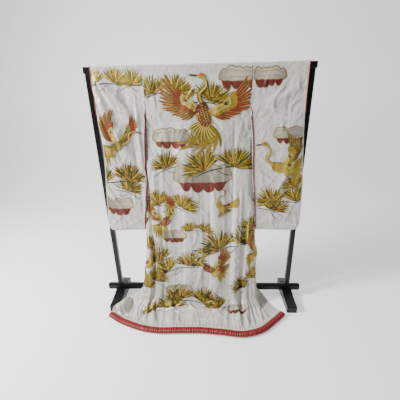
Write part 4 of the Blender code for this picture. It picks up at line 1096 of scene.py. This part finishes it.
def on_sleeve(side):
    """The same for a sleeve's near wall, at (distance out from its inner edge, down)."""
    wall, wall_down, out, width = SLEEVES[side][4]
    normal = unit(side * np.cross(np.gradient(wall, axis=0), np.gradient(wall, axis=1)))

    def place(u, v, lift):
        rows = np.interp(v, wall_down, np.arange(len(wall_down)))
        share = side * u / np.interp(v, wall_down, width)
        columns = np.interp(np.clip(share, 0.012, 0.985), out, np.arange(len(out)))
        outward = unit(look_up(normal, rows, columns))
        return look_up(wall, rows, columns) + outward * (CLOTH_HALF + lift)[..., None]

    return place


# %% [markdown]
# ## Threads
# Everything drawn is a set of blades: feathers, needles, stems and outlines are all a bowed middle
# line with a width that swells and closes. One array holds every blade of a motif, three points wide
# and raised in the middle, so hundreds of feathers are worked out together. Each blade's colour
# carries a painted highlight along its middle and painted shade along both sides.
# %% Threads
GOLD, PALE_GOLD, OLIVE = (0.36, 0.235, 0.014), (0.56, 0.42, 0.080), (0.150, 0.122, 0.009)
DARK_OLIVE, RUST, RED_BROWN = (0.040, 0.030, 0.004), (0.23, 0.042, 0.008), (0.120, 0.010, 0.007)
GREY, CREAM, TAN, UMBER = (0.23, 0.21, 0.18), (0.46, 0.40, 0.30), (0.26, 0.18, 0.09), (0.028, 0.014, 0.008)
DEEP_RED, CROWN_RED = (0.12, 0.006, 0.005), (0.42, 0.02, 0.012)
FIRST_LIFT, LAYER_LIFT = 0.0007, 0.00032
# The middle of every blade is raised, and its colour gets a painted highlight there and painted shade on both
# sides.
RIDGE_LIFT, RIDGE_HIGHLIGHT_AND_SHADE = np.array([0.0, 0.0006, 0.0]), np.array([0.62, 1.2, 0.62])


class Drawing:
    """Blades and patches for one surface, in (along, down): lift, metal, and dye with painted highlight and
    shade.
    """

    def __init__(self):
        self.flat, self.lift, self.dye, self.metal, self.quads, self.count = [], [], [], [], [], 0

    def grid(self, flat, lift, dye, metal):
        """Adds n grids of the same size at once: flat is (n, rows, columns, 2)."""
        n, rows, columns = flat.shape[:3]
        ids = self.count + np.arange(n * rows * columns).reshape(n, rows, columns)
        quads = np.stack([ids[:, :-1, :-1], ids[:, 1:, :-1], ids[:, 1:, 1:], ids[:, :-1, 1:]], -1)
        self.flat.append(flat.reshape(-1, 2))
        self.lift.append(np.broadcast_to(lift, ids.shape).ravel())
        self.dye.append(np.broadcast_to(dye, ids.shape + (3,)).reshape(-1, 3))
        self.metal.append(np.broadcast_to(metal, ids.shape).ravel())
        self.quads.append(quads.reshape(-1, 4))
        self.count += ids.size

    def blades(self, start, end, wide, dye, metal, layer=0, bow=0.0, blunt=4.0, steps=8):
        """Bowed blades from start to end; a low blunt closes like a leaf, a high one like a feather."""
        start, end = np.atleast_2d(start).astype(float), np.atleast_2d(end).astype(float)
        n = max(len(start), len(end))
        start, end = np.broadcast_to(start, (n, 2)), np.broadcast_to(end, (n, 2))
        wide, bow = np.broadcast_to(wide, n), np.broadcast_to(bow, n)
        t = np.linspace(0.0, 1.0, steps + 1)
        way = end - start
        square = np.stack([-way[:, 1], way[:, 0]], 1)
        middle = start[:, None] + way[:, None] * t[None, :, None]
        middle = middle + square[:, None] * (bow[:, None] * 4 * t * (1 - t))[..., None]
        profile = np.sqrt(np.maximum(1.0 - np.abs(2 * t - 1) ** blunt, 0.0)) + 0.02
        across = unit(square)[:, None, None] * (wide[:, None] * profile / 2)[..., None, None]
        flat = middle[:, :, None] + across * np.array([-1.0, 0.0, 1.0])[None, None, :, None]
        lift = FIRST_LIFT + LAYER_LIFT * layer + RIDGE_LIFT
        dye = np.broadcast_to(np.asarray(dye, float), (n, 3))[:, None, None]
        # Painted highlight on the middle row, painted shade on the two side rows, and darker towards the blade's
        # start.
        tone = RIDGE_HIGHLIGHT_AND_SHADE[None, None, :, None] * (0.85 + 0.25 * t)[None, :, None, None]
        self.grid(flat, lift, np.clip(dye * tone, 0.0, 1.0), metal)

    def make(self, name, place):
        """Lays the drawing on a surface as one mesh."""
        flat = np.concatenate(self.flat)
        points = place(flat[:, 0], flat[:, 1], np.concatenate(self.lift))
        quads = np.concatenate(self.quads)
        faces = points[quads]
        turned = np.cross(faces[:, 2] - faces[:, 0], faces[:, 3] - faces[:, 1])
        quads = np.where(turned[:, 1:2] > 0, quads[:, ::-1], quads)
        size = np.linalg.norm(turned, axis=1)
        quads = quads[size > 1e-12]
        made = make(
            name, points, quads, flat, [THREAD], colour=np.concatenate(self.dye), metal=np.concatenate(self.metal)
        )
        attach(made, "root")
        print(name, len(quads) * 2, "triangles")
        return made


print("layers of thread lie", LAYER_LIFT * 1000, "mm apart")

# %% [markdown]
# ## A pen for motifs
# A motif is drawn once about its own middle. The pen then sizes it, turns it, mirrors it and sets it
# down on the cloth, so the same crane can fly either way.
# %% Pen
class Pen:
    """Turns, sizes and mirrors a motif drawn about its own middle, y up, and sets it on the cloth."""

    def __init__(self, drawing, u, v, size, turn=0.0, mirror=1):
        self.drawing, self.u, self.v, self.size, self.mirror = drawing, u, v, size, mirror
        self.cos, self.sin = math.cos(math.radians(turn)), math.sin(math.radians(turn))

    def at(self, points):
        """Points of the motif turned, sized and set at the pen's own place on the cloth."""
        p = np.asarray(points, float) * self.size
        x = self.mirror * (p[..., 0] * self.cos - p[..., 1] * self.sin)
        y = p[..., 0] * self.sin + p[..., 1] * self.cos
        return np.stack([self.u + x, self.v - y], -1)

    def blades(self, start, end, wide, dye, metal, bow=0.0, **more):
        """Blades in the motif's own units."""
        bow = -self.mirror * np.asarray(bow)
        wide = np.asarray(wide) * self.size
        self.drawing.blades(self.at(start), self.at(end), wide, dye, metal, bow=bow, **more)

    def ribbon(self, line, wide, dye, metal, layer):
        """A band of changing width along a bent line, raised in its middle: painted highlight there, painted
        shade at its sides.
        """
        line = self.at(line)
        across = unit(np.stack([-np.gradient(line[:, 1]), np.gradient(line[:, 0])], 1))
        across = across * (np.asarray(wide) * self.size / 2)[:, None]
        flat = np.stack([line - across, line, line + across], 1)[None]
        lift = FIRST_LIFT + LAYER_LIFT * layer + RIDGE_LIFT
        # Painted highlight along the band's middle, painted shade along both sides.
        tone = RIDGE_HIGHLIGHT_AND_SHADE[None, None, :, None]
        self.drawing.grid(flat, lift, np.clip(np.array(dye) * tone, 0.0, 1.0), metal)

    def patch(self, points, lift, dye, metal):
        """One grid of points in the motif's own units."""
        self.drawing.grid(self.at(points)[None], lift, dye, metal)


def fan(base, turn_from, turn_to, reach_from, reach_to, count, root=0.1):
    """Starts and ends of count directions between two angles, with changing reach."""
    turn = np.radians(np.linspace(turn_from, turn_to, count))
    reach = np.linspace(reach_from, reach_to, count)
    way = np.stack([np.cos(turn), np.sin(turn)], 1)
    base = np.asarray(base, float)
    return base + way * (reach * root)[:, None], base + way * reach[:, None]


print("a fan of three ends at", fan((0, 0), 0, 180, 1, 1, 3)[1].round(2).tolist())


# %% [markdown]
# ## Pine
# Pine, crane and cloud are the three old lucky figures of a wedding robe, each drawn here from its own
# simple rule. A pine spray is fans of needles along a bent twig, dark below and gold on top.
# %% Pine
def pine(drawing, u, v, size, turn=0.0, seed=1, dark=0.0, layer=0, fans=2):
    """Round fans of needles on a bent twig: a dark ground, long needles over it, short ones on top."""
    rng = np.random.default_rng(seed)
    pen = Pen(drawing, u, v, size, turn, 1 if seed % 2 else -1)
    tone = 1.0 - 0.45 * dark
    places = np.linspace(-0.55, 0.55, fans) if fans > 1 else np.zeros(1)
    for x in places[np.argsort(-np.abs(places))]:
        y = -0.18 - 0.22 * x ** 2 + rng.uniform(-0.04, 0.04)
        reach = rng.uniform(0.92, 1.06) * (1.0 - 0.22 * abs(x))
        middle = 90 - 38 * x + rng.uniform(-6, 6)
        half = rng.uniform(76, 88)
        turns = np.radians(np.linspace(middle - half, middle + half, 41))
        radius = np.array([0.03, 0.35, 0.66])[:, None] * (reach * np.where(np.arange(41) % 2, 1.0, 0.80))
        ground = np.stack([x + radius * np.cos(turns), y + radius * np.sin(turns)], -1)
        pen.patch(ground, FIRST_LIFT + LAYER_LIFT * layer - 0.0001, np.array(DARK_OLIVE) * tone, 0.2)
        for count, part, wide, hues, metal, up in (
            (17, 0.90, 0.058, (DARK_OLIVE, OLIVE, UMBER), 0.4, 0.2),
            (20, 1.00, 0.060, (GOLD, PALE_GOLD, OLIVE, GOLD), 0.75, 0.9),
            (9, 0.52, 0.055, (OLIVE, RUST, GOLD, DARK_OLIVE), 0.5, 1.6),
        ):
            start, end = fan((x, y), middle - half, middle + half, reach * part, reach * part, count, 0.06)
            end = end + (end - start) * rng.uniform(-0.14, 0.08, (count, 1))
            hue = np.array([hues[k % len(hues)] for k in range(count)]) * tone
            hue = hue * rng.uniform(0.75, 1.2, (count, 1))
            pen.blades(start, end, wide, hue, metal, layer=layer + up, blunt=2.6, steps=6)
    pen.blades([(-0.95, -0.46)], [(0.85, -0.34)], 0.040, UMBER, 0.1, bow=0.10, layer=layer + 1.2, steps=12)
    pen.blades([(-0.10, -0.26)], [(0.40, -0.58)], 0.030, UMBER, 0.1, bow=-0.10, layer=layer + 1.2, steps=7)


print("pine needles in a fan", 17 + 20 + 9)

# %% [markdown]
# ## Crane
# A crane is fans of feathers on two arms. A long feather is three blades stacked, gold, dye and shaft,
# and a table holds how its wings, neck, body and tail are set in each pose.
# %% Crane
TIP_FEATHERS, ARM_FEATHERS = 9, 7


def wing(pen, shoulder, wrist, first, last, reach, tones, layer):
    """Long parted feathers fanned at the wrist and set along the arm, under two short rows."""
    long_tone, shaft_tone, short_tone, top_tone = tones
    shoulder, wrist = np.asarray(shoulder, float), np.asarray(wrist, float)
    folded = last + 0.40 * (last - first)

    def row(a, b, c):
        """Even steps from a to b over the tip's feathers, and on to c over the arm's."""
        return np.concatenate([np.linspace(a, b, TIP_FEATHERS), np.linspace(b, c, ARM_FEATHERS + 1)[1:]])

    turnings = row(first, last, folded)
    arm = row(0.0, 0.0, 0.95)[:, None]
    reaches = row(1.0, 0.76, 0.52)[:, None] * reach
    reaches = reaches * (1.0 + 0.05 * np.sin(np.arange(TIP_FEATHERS + ARM_FEATHERS) * 2.4))[:, None]
    base = wrist + (shoulder - wrist) * arm
    way = np.stack([np.cos(np.radians(turnings)), np.sin(np.radians(turnings))], 1)
    bow = 0.07 * np.sign(last - first)
    for wide, part, tone, metal, up in (
        (0.066, 1.00, PALE_GOLD, 0.7, 0.0),
        (0.048, 0.985, long_tone, 0.4, 1.4),
        (0.012, 0.92, shaft_tone, 0.4, 2.4),
    ):
        pen.blades(
            base + way * 0.03, base + way * reaches * part, wide * reach, tone, metal, bow=bow, layer=layer + up,
            blunt=3.6, steps=10,
        )
    for part, tone, up in ((0.50, short_tone, 3.2), (0.28, top_tone, 4.0)):
        pen.blades(
            base, base + way * reaches * part, 0.070 * reach, tone, 0.5, layer=layer + up, blunt=3.4, steps=6,
        )
        pen.blades(
            base, base + way * reaches * part * 0.9, 0.018 * reach, UMBER, 0.2, layer=layer + up + 0.9, steps=5,
        )
    lead = wrist + (wrist - shoulder) * 0.12
    pen.blades([shoulder], [lead], 0.085 * reach, top_tone, 0.6, bow=-bow, layer=layer + 5.2, steps=8)


WING_TONES = (
    (RED_BROWN, GOLD, RUST, PALE_GOLD), (RUST, RED_BROWN, GOLD, PALE_GOLD), (GOLD, OLIVE, PALE_GOLD, RUST),
    (OLIVE, UMBER, GOLD, PALE_GOLD), (UMBER, GOLD, RED_BROWN, GOLD),
)
# One row for each way a crane is drawn: its two wings, then its neck, then its body and its tail.
POSES = {
    "rising": (
        (((0.05, 0.03), (0.20, 0.15), 62, 8, 0.44), ((-0.05, 0.05), (-0.20, 0.12), 142, 206, 0.42)),
        ((-0.02, 0.10), (-0.09, 0.22), (-0.03, 0.34), (-0.09, 0.43)),
        ((-0.05, 0.14), (0.09, -0.14), 0.170), (-132, -52, 0.46, 0.36),
    ),
    "turning": (
        (((0.03, 0.04), (0.12, 0.19), 84, 34, 0.46), ((-0.03, 0.06), (-0.10, 0.20), 100, 138, 0.40)),
        ((-0.10, 0.02), (-0.20, 0.10), (-0.19, 0.22), (-0.27, 0.28)),
        ((-0.10, 0.07), (0.12, -0.08), 0.170), (-88, -14, 0.40, 0.30),
    ),
    "standing": (
        (((0.05, 0.02), (0.14, 0.13), 92, 42, 0.40), ((0.02, 0.00), (0.10, 0.02), 26, -18, 0.30)),
        ((-0.11, 0.03), (-0.20, 0.13), (-0.15, 0.27), (-0.21, 0.37)),
        ((-0.13, 0.04), (0.13, -0.03), 0.165), (-62, -4, 0.32, 0.26),
    ),
}


def crane(drawing, u, v, size, turn=0.0, mirror=1, pose="rising", left=0, right=1, body=RED_BROWN, layer=1):
    """A crane: two wings of parted feathers, drooping plumes, a scaled body and a long bent neck."""
    pen = Pen(drawing, u, v, size, turn, mirror)
    wings, neck, (front, rear, deep), (first, last, long_reach, short_reach) = POSES[pose]
    front, rear = np.array(front), np.array(rear)
    root = front + (rear - front) * 0.80
    start, end = fan(root, first, last, long_reach, short_reach, 10, 0.04)
    end = end + (end - start) * (0.12 * np.sin(np.arange(10) * 2.1))[:, None]
    pen.blades(start, end, 0.034, GOLD, 0.7, bow=0.14, layer=layer, blunt=3.4, steps=10)
    pen.blades(start, end * 0.97 + start * 0.03, 0.010, OLIVE, 0.3, bow=0.14, layer=layer + 1.6, steps=10)
    start, end = fan(root, first - 12, last + 8, long_reach * 0.55, short_reach * 0.60, 9, 0.04)
    pen.blades(start, end, 0.034, OLIVE, 0.6, bow=-0.12, layer=layer + 2.0, blunt=3.4, steps=7)
    pen.blades(start, end, 0.016, PALE_GOLD, 0.6, bow=-0.12, layer=layer + 3.0, blunt=3.4, steps=7)
    for tones, one in ((right, wings[0]), (left, wings[1])):
        wing(pen, *one, WING_TONES[tones], layer + 1)
    under = np.array(body) * 0.8
    pen.blades([front], [rear], deep, under, 0.25, bow=-0.08, layer=layer + 7, steps=10, blunt=2.4)
    row, place = np.meshgrid(np.arange(9), np.linspace(-1.0, 1.0, 5), indexing="ij")
    ahead = (rear - front) / np.linalg.norm(rear - front)
    over = np.array([-ahead[1], ahead[0]])
    share = (row + 0.5 * (np.arange(5) % 2)) / 9.5
    bulge = deep * 0.37 * np.sqrt(np.maximum(1.0 - np.abs(2 * share - 1) ** 2.4, 0.04))
    sag = -0.08 * 4 * share * (1 - share) * np.linalg.norm(rear - front)
    scales = front + (rear - front) * share[..., None] * 0.94 + over * (place * bulge + sag)[..., None]
    scales = scales.reshape(-1, 2)
    pen.blades(scales, scales + ahead * 0.046, 0.036, PALE_GOLD, 0.6, layer=layer + 8.0, steps=4, blunt=3.0)
    pen.blades(scales, scales + ahead * 0.036, 0.024, body, 0.3, layer=layer + 9.2, steps=4, blunt=2.6)
    bend = evenly([list(one) for one in neck], 14)
    for wide, tone, up in ((0.052, OLIVE, 8.0), (0.032, PALE_GOLD, 9.4)):
        pen.ribbon(bend, wide * np.linspace(1.0, 0.62, 15), tone, 0.5, layer + up)
    head = bend[-1]
    look = np.array([-1.0, -0.12])
    for start, end, wide, tone, metal, up, steps, blunt in (
        (-look * 0.03, look * 0.06, 0.056, GOLD, 0.5, 10.4, 6, 2.4),
        ((0.01, 0.012), (-0.04, 0.016), 0.026, CROWN_RED, 0.1, 11.6, 4, 4.0),
        (look * 0.05, look * 0.17, 0.020, UMBER, 0.2, 10.6, 5, 2.4),
    ):
        pen.blades([head + start], [head + end], wide, tone, metal, layer=layer + up, steps=steps, blunt=blunt)


print("crane poses", list(POSES))

# %% [markdown]
# ## Cloud
# A cloud is a bank of rounded lobes over a row of hanging ones. Each bank is one grid between a top
# line and a foot line, and thin gold ribbons follow both lines.
# %% Cloud
def cloud(drawing, u, v, wide, seed=1, layer=0):
    """A lucky cloud: a lobed grey and cream bank, red lobes hanging below it, and thin gold edges."""
    rng = np.random.default_rng(seed)
    x = np.linspace(-0.5, 0.5, 73)
    for bank, tones, metal in ((0, (DEEP_RED, RED_BROWN), 0.1), (1, (GREY, CREAM), 0.15)):
        share = (0.86, 1.0)[bank]
        count = 4 + bank
        lobes = (np.arange(count) - (count - 1) / 2)[:, None] * 0.95 / count * share
        lobes = lobes + rng.uniform(-0.03, 0.03, (count, 1))
        radius = rng.uniform(0.095, 0.150, (count, 1)) * share
        if bank == 0:
            top = np.full_like(x, -0.02)
            foot = -0.19 - 1.25 * np.sqrt(np.maximum(radius ** 2 - (x * share - lobes) ** 2, 0.0)).max(0)
        else:
            top = 0.05 + 1.3 * np.sqrt(np.maximum((1.15 * radius) ** 2 - (x * share - lobes) ** 2, 0.0)).max(0)
            foot = -0.095 - 0.22 * np.sqrt(np.maximum(radius ** 2 - (x * share - lobes - 0.04) ** 2, 0.0)).max(0)
        ends = np.sqrt(np.maximum(1.0 - np.abs(2 * x) ** 6, 0.0))
        top, foot = top * ends - 0.05 * (1 - ends), foot * ends - 0.05 * (1 - ends)
        rows = np.linspace(0.0, 1.0, 9)[:, None]
        y = foot + (top - foot) * rows
        flat = np.stack([u + wide * share * np.broadcast_to(x, y.shape), v - wide * y], -1)[None]
        mix = 0.5 + 0.5 * np.sin(5.0 * x + seed) * np.ones_like(rows)
        first, second = (np.array(tone) for tone in tones)
        # Each bank is painted darker at its foot and lighter at its top: painted shade below, painted light
        # above.
        dye = (first + (second - first) * mix[..., None]) * (0.86 + 0.20 * rows[..., None])
        height = FIRST_LIFT + LAYER_LIFT * (layer + 1.5 * bank)
        swell = 0.0003 * np.sqrt(np.maximum(1 - (2 * rows - 1) ** 2, 0.0)) * ends
        drawing.grid(flat, height + swell, dye[None], metal)
        lines = [(top, 0.0022, UMBER), (foot, 0.0022, UMBER)]
        if bank:
            lines.append((foot + (top - foot) * 0.72, 0.0014, TAN))
        for line, broad, hue in lines:
            curve = np.stack([u + wide * share * x, v - wide * line], 1)
            side = unit(np.stack([-np.gradient(curve[:, 1]), np.gradient(curve[:, 0])], 1)) * broad
            ribbon = np.stack([curve - side, curve, curve + side], 1)[None]
            lift = height + np.array([0.0004, 0.0010, 0.0004])
            drawing.grid(ribbon, lift, np.array([UMBER, GOLD, hue]), 0.7)


print("a cloud is made of", 2, "banks and", 5, "ribbons")


# %% [markdown]
# ## Where the motifs go
# The tables place sprays, cranes and clouds down the back and on the sleeves: clouds and pine over
# the shoulders, a large crane between them, smaller ones lower down, and bare satin at the train.
# %% Layout
body_clouds, body_pines, body_cranes = Drawing(), Drawing(), Drawing()
for row in (
    # along, down, wide, seed, layer
    (-0.165, 0.430, 0.230, 3, 0),
    (0.020, 0.690, 0.370, 5, 0),
    (0.235, 0.075, 0.230, 8, 0),
    (-0.180, 1.140, 0.170, 19, 0),
    (-0.155, 1.600, 0.190, 11, 0),
    (0.262, 1.760, 0.170, 13, 0),
    (0.460, 0.860, 0.230, 21, 0),
    (-0.470, 0.980, 0.240, 25, 0),
):
    cloud(body_clouds, *row)
for row in (
    # along, down, size, turn, seed, dark, layer, fans
    (-0.205, 0.130, 0.125, 6, 1, 0.2, 1, 2),
    (-0.010, 0.185, 0.150, -4, 2, 0.1, 1, 2),
    (-0.205, 0.615, 0.115, 18, 5, 0.3, 1, 1),
    (0.120, 0.600, 0.170, 8, 7, 0.1, 5, 2),
    (0.010, 0.470, 0.110, -8, 9, 0.1, 1, 1),
    (-0.190, 0.880, 0.140, 10, 10, 0.1, 1, 2),
    (-0.020, 1.080, 0.085, -10, 11, 0.2, 1, 2),
    (0.215, 1.190, 0.180, -14, 12, 0.6, 1, 2),
    (-0.165, 1.380, 0.150, -18, 14, 0.4, 1, 2),
    (-0.300, 1.330, 0.130, 30, 15, 0.7, 1, 1),
    (-0.330, 1.500, 0.130, 20, 16, 0.6, 1, 1),
    (-0.060, 1.660, 0.150, -12, 17, 0.3, 2, 2),
    (0.105, 1.730, 0.105, -20, 18, 0.4, 2, 1),
    (-0.285, 1.745, 0.135, 24, 19, 0.3, 2, 2),
    (0.300, 1.560, 0.110, -30, 20, 0.5, 2, 1),
    (0.440, 1.080, 0.140, -12, 23, 0.1, 1, 2),
    (0.500, 1.480, 0.130, 16, 24, 0.2, 1, 2),
    (-0.470, 1.230, 0.140, -10, 26, 0.1, 1, 2),
    (-0.520, 1.560, 0.130, 12, 27, 0.2, 1, 2),
):
    pine(body_pines, *row)
for row in (
    # along, down, size, turn, mirror, pose, left wing, right wing, body, layer
    (0.030, 0.290, 0.500, -12, 1, "rising", 0, 1, RED_BROWN, 3),
    (0.130, 0.900, 0.240, -50, 1, "standing", 3, 2, GOLD, 3),
    (-0.235, 1.020, 0.330, -14, -1, "turning", 1, 0, DEEP_RED, 3),
    (0.060, 1.410, 0.380, -8, 1, "standing", 0, 0, RED_BROWN, 3),
    (0.430, 1.290, 0.300, 10, -1, "turning", 2, 1, GOLD, 3),
    (-0.500, 1.400, 0.300, -10, 1, "rising", 1, 2, RED_BROWN, 3),
):
    crane(body_cranes, *row)
body_clouds.make("motif_clouds_body", on_body)
body_pines.make("motif_pines_body", on_body)
body_cranes.make("motif_cranes_body", on_body)

SLEEVE_MOTIFS = {
    -1: (
        # kind, out from the inner edge, down, size or width, turn or seed, then what the motif takes
        (pine, 0.240, 0.075, 0.115, -5, 2, 0.3, 1, 2),
        (pine, 0.070, 0.095, 0.095, 4, 1, 0.1, 1, 1),
        (pine, 0.215, 0.690, 0.165, 6, 3, 0.5, 1, 2),
        (pine, 0.120, 0.780, 0.115, 20, 4, 0.4, 1, 1),
        (cloud, 0.200, 0.900, 0.230, 25, 0),
        (crane, 0.175, 0.470, 0.350, 8, -1, "turning", 1, 0, OLIVE, 3),
    ),
    1: (
        (cloud, 0.100, 0.075, 0.200, 27, 0),
        (cloud, 0.225, 0.420, 0.200, 29, 0),
        (pine, 0.190, 0.850, 0.150, -4, 6, 0.4, 1, 2),
        (pine, 0.130, 0.930, 0.120, -24, 7, 0.2, 1, 1),
        (pine, 0.255, 0.760, 0.100, 18, 9, 0.3, 1, 1),
        (crane, 0.165, 0.630, 0.420, 2, 1, "standing", 2, 3, GOLD, 3),
    ),
}
for side, rows in SLEEVE_MOTIFS.items():
    drawing = Drawing()
    for kind, out, down, *rest in rows:
        kind(drawing, side * out, down, *rest)
    drawing.make("motif_sleeve_" + HAND[side], on_sleeve(side))


def one_face(made):
    """Area of one face of a doubled cloth, half of the whole shell's."""
    return sum(face.area for face in made.data.polygons) / 2


for made in (BODIES[1], SLEEVES[1][0], OVERLAPS[1], COLLAR):
    print(made.name, "area", round(one_face(made), 3), "square metres")

# %% [markdown]
# ## The stand
# The stand's solids are already the right shape, so they keep their meshes and take the lacquer.
# %% Stand
for name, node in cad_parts.items():
    if name.startswith(("foot", "post", "rail", "crossbar")):
        for place in node.material_slots:
            place.material = LACQUER
print("stand nodes done")

# %% [markdown]
# ## The floor
# The garment stands on a pale floor that curves up into a pale wall far behind it, so that no line cuts
# the background. It glows a little, as a lit studio floor does, and it isn't part of the object.
# %% Floor
FLOOR_NEAR, FLOOR_FAR, FLOOR_HALF, FLOOR_DROP = -6.0, 2.2, 7.0, 0.0002
WALL_ROUND, WALL_TOP = 1.5, 7.0


def stage_material():
    """A pale matt floor with a weak glow of its own."""
    made, _, shader, _ = build_material("pale_floor")
    shader.inputs["Base Color"].default_value = (0.86, 0.86, 0.86, 1)
    shader.inputs["Roughness"].default_value = 0.85
    shader.inputs["Emission Color"].default_value = (1.0, 1.0, 1.0, 1)
    shader.inputs["Emission Strength"].default_value = 0.55
    return made


bend = np.linspace(0.0, math.pi / 2, 13)
curve = np.column_stack([
    FLOOR_FAR + WALL_ROUND * np.sin(bend), WALL_ROUND - WALL_ROUND * np.cos(bend) - FLOOR_DROP,
])
profile = np.concatenate([[(FLOOR_NEAR, -FLOOR_DROP)], curve, [(FLOOR_FAR + WALL_ROUND, WALL_TOP)]])
rows = len(profile)
both = np.concatenate([np.column_stack([np.full(rows, x), profile]) for x in (-FLOOR_HALF, FLOOR_HALF)])
mesh = bpy.data.meshes.new("floor")
mesh.from_pydata(both.tolist(), [], [(i, i + rows, i + rows + 1, i + 1) for i in range(rows - 1)])
mesh.materials.append(stage_material())
mesh.shade_smooth()
floor = bpy.data.objects.new("floor", mesh)
bpy.context.scene.collection.objects.link(floor)
print("floor", len(mesh.polygons), "faces")

# %% [markdown]
# ## The lights
# A strong lamp high on the left grazes the cloth, so that each crease has a bright and a dark side. A
# soft lamp above and a weak one on the right keep the shadows open.
# %% Lights
LAMPS = (
    # name, place, what it points at, size, power
    ("key", (-3.0, -0.95, 2.7), (0.0, 0.0, 0.9), 0.8, 340.0),
    ("fill", (3.0, -2.6, 1.8), (0.0, 0.0, 0.9), 2.0, 6.0),
    ("top", (0.4, -0.7, 4.0), (0.0, 0.0, 0.4), 1.4, 45.0),
)


def set_up(made, right, up, back, where):
    """Places an object by its right, up and backward directions, and links it."""
    place = np.eye(4)
    place[:3, 0], place[:3, 1], place[:3, 2], place[:3, 3] = right, up, back, where
    made.matrix_world = Matrix(place.tolist())
    bpy.context.scene.collection.objects.link(made)


world = bpy.data.worlds.new("studio")
world.use_nodes = True
world.node_tree.nodes["Background"].inputs[0].default_value = (1.0, 1.0, 1.0, 1)
world.node_tree.nodes["Background"].inputs[1].default_value = 0.05
bpy.context.scene.world = world
for name, where, aim, size, power in LAMPS:
    lamp = bpy.data.lights.new(name, "AREA")
    lamp.shape = "SQUARE"
    lamp.size = size
    lamp.energy = power
    back = unit(np.array(where) - np.array(aim))
    right = unit(np.cross((0.0, 0.0, 1.0), back))
    set_up(bpy.data.objects.new(name, lamp), right, np.cross(back, right), back, where)
print("lamps", [row[0] for row in LAMPS])

# %% [markdown]
# ## The camera
# The camera stands where the photograph was taken from. Its turn, tilt, roll and lens were fitted to
# the posts, the bar, the rail and the hem.
# %% Camera
YAW, PITCH, ROLL_TURN, LENS = -0.0413, 0.3718, -0.0224, 23.92
CAMERA_PLACE = (0.0661, -1.7849 + STAND_Y, 1.5506)
forward = np.array([
    math.sin(YAW) * math.cos(PITCH), math.cos(YAW) * math.cos(PITCH), -math.sin(PITCH),
])
level_right = np.array([math.cos(YAW), -math.sin(YAW), 0.0])
level_up = np.cross(level_right, forward)
cam_right = level_right * math.cos(ROLL_TURN) + level_up * math.sin(ROLL_TURN)
cam_up = -level_right * math.sin(ROLL_TURN) + level_up * math.cos(ROLL_TURN)
lens = bpy.data.cameras.new("camera")
lens.lens = LENS
lens.sensor_width = 36.0
camera = bpy.data.objects.new("camera", lens)
set_up(camera, cam_right, cam_up, -forward, CAMERA_PLACE)
bpy.context.scene.camera = camera
print("lens", LENS, "mm")
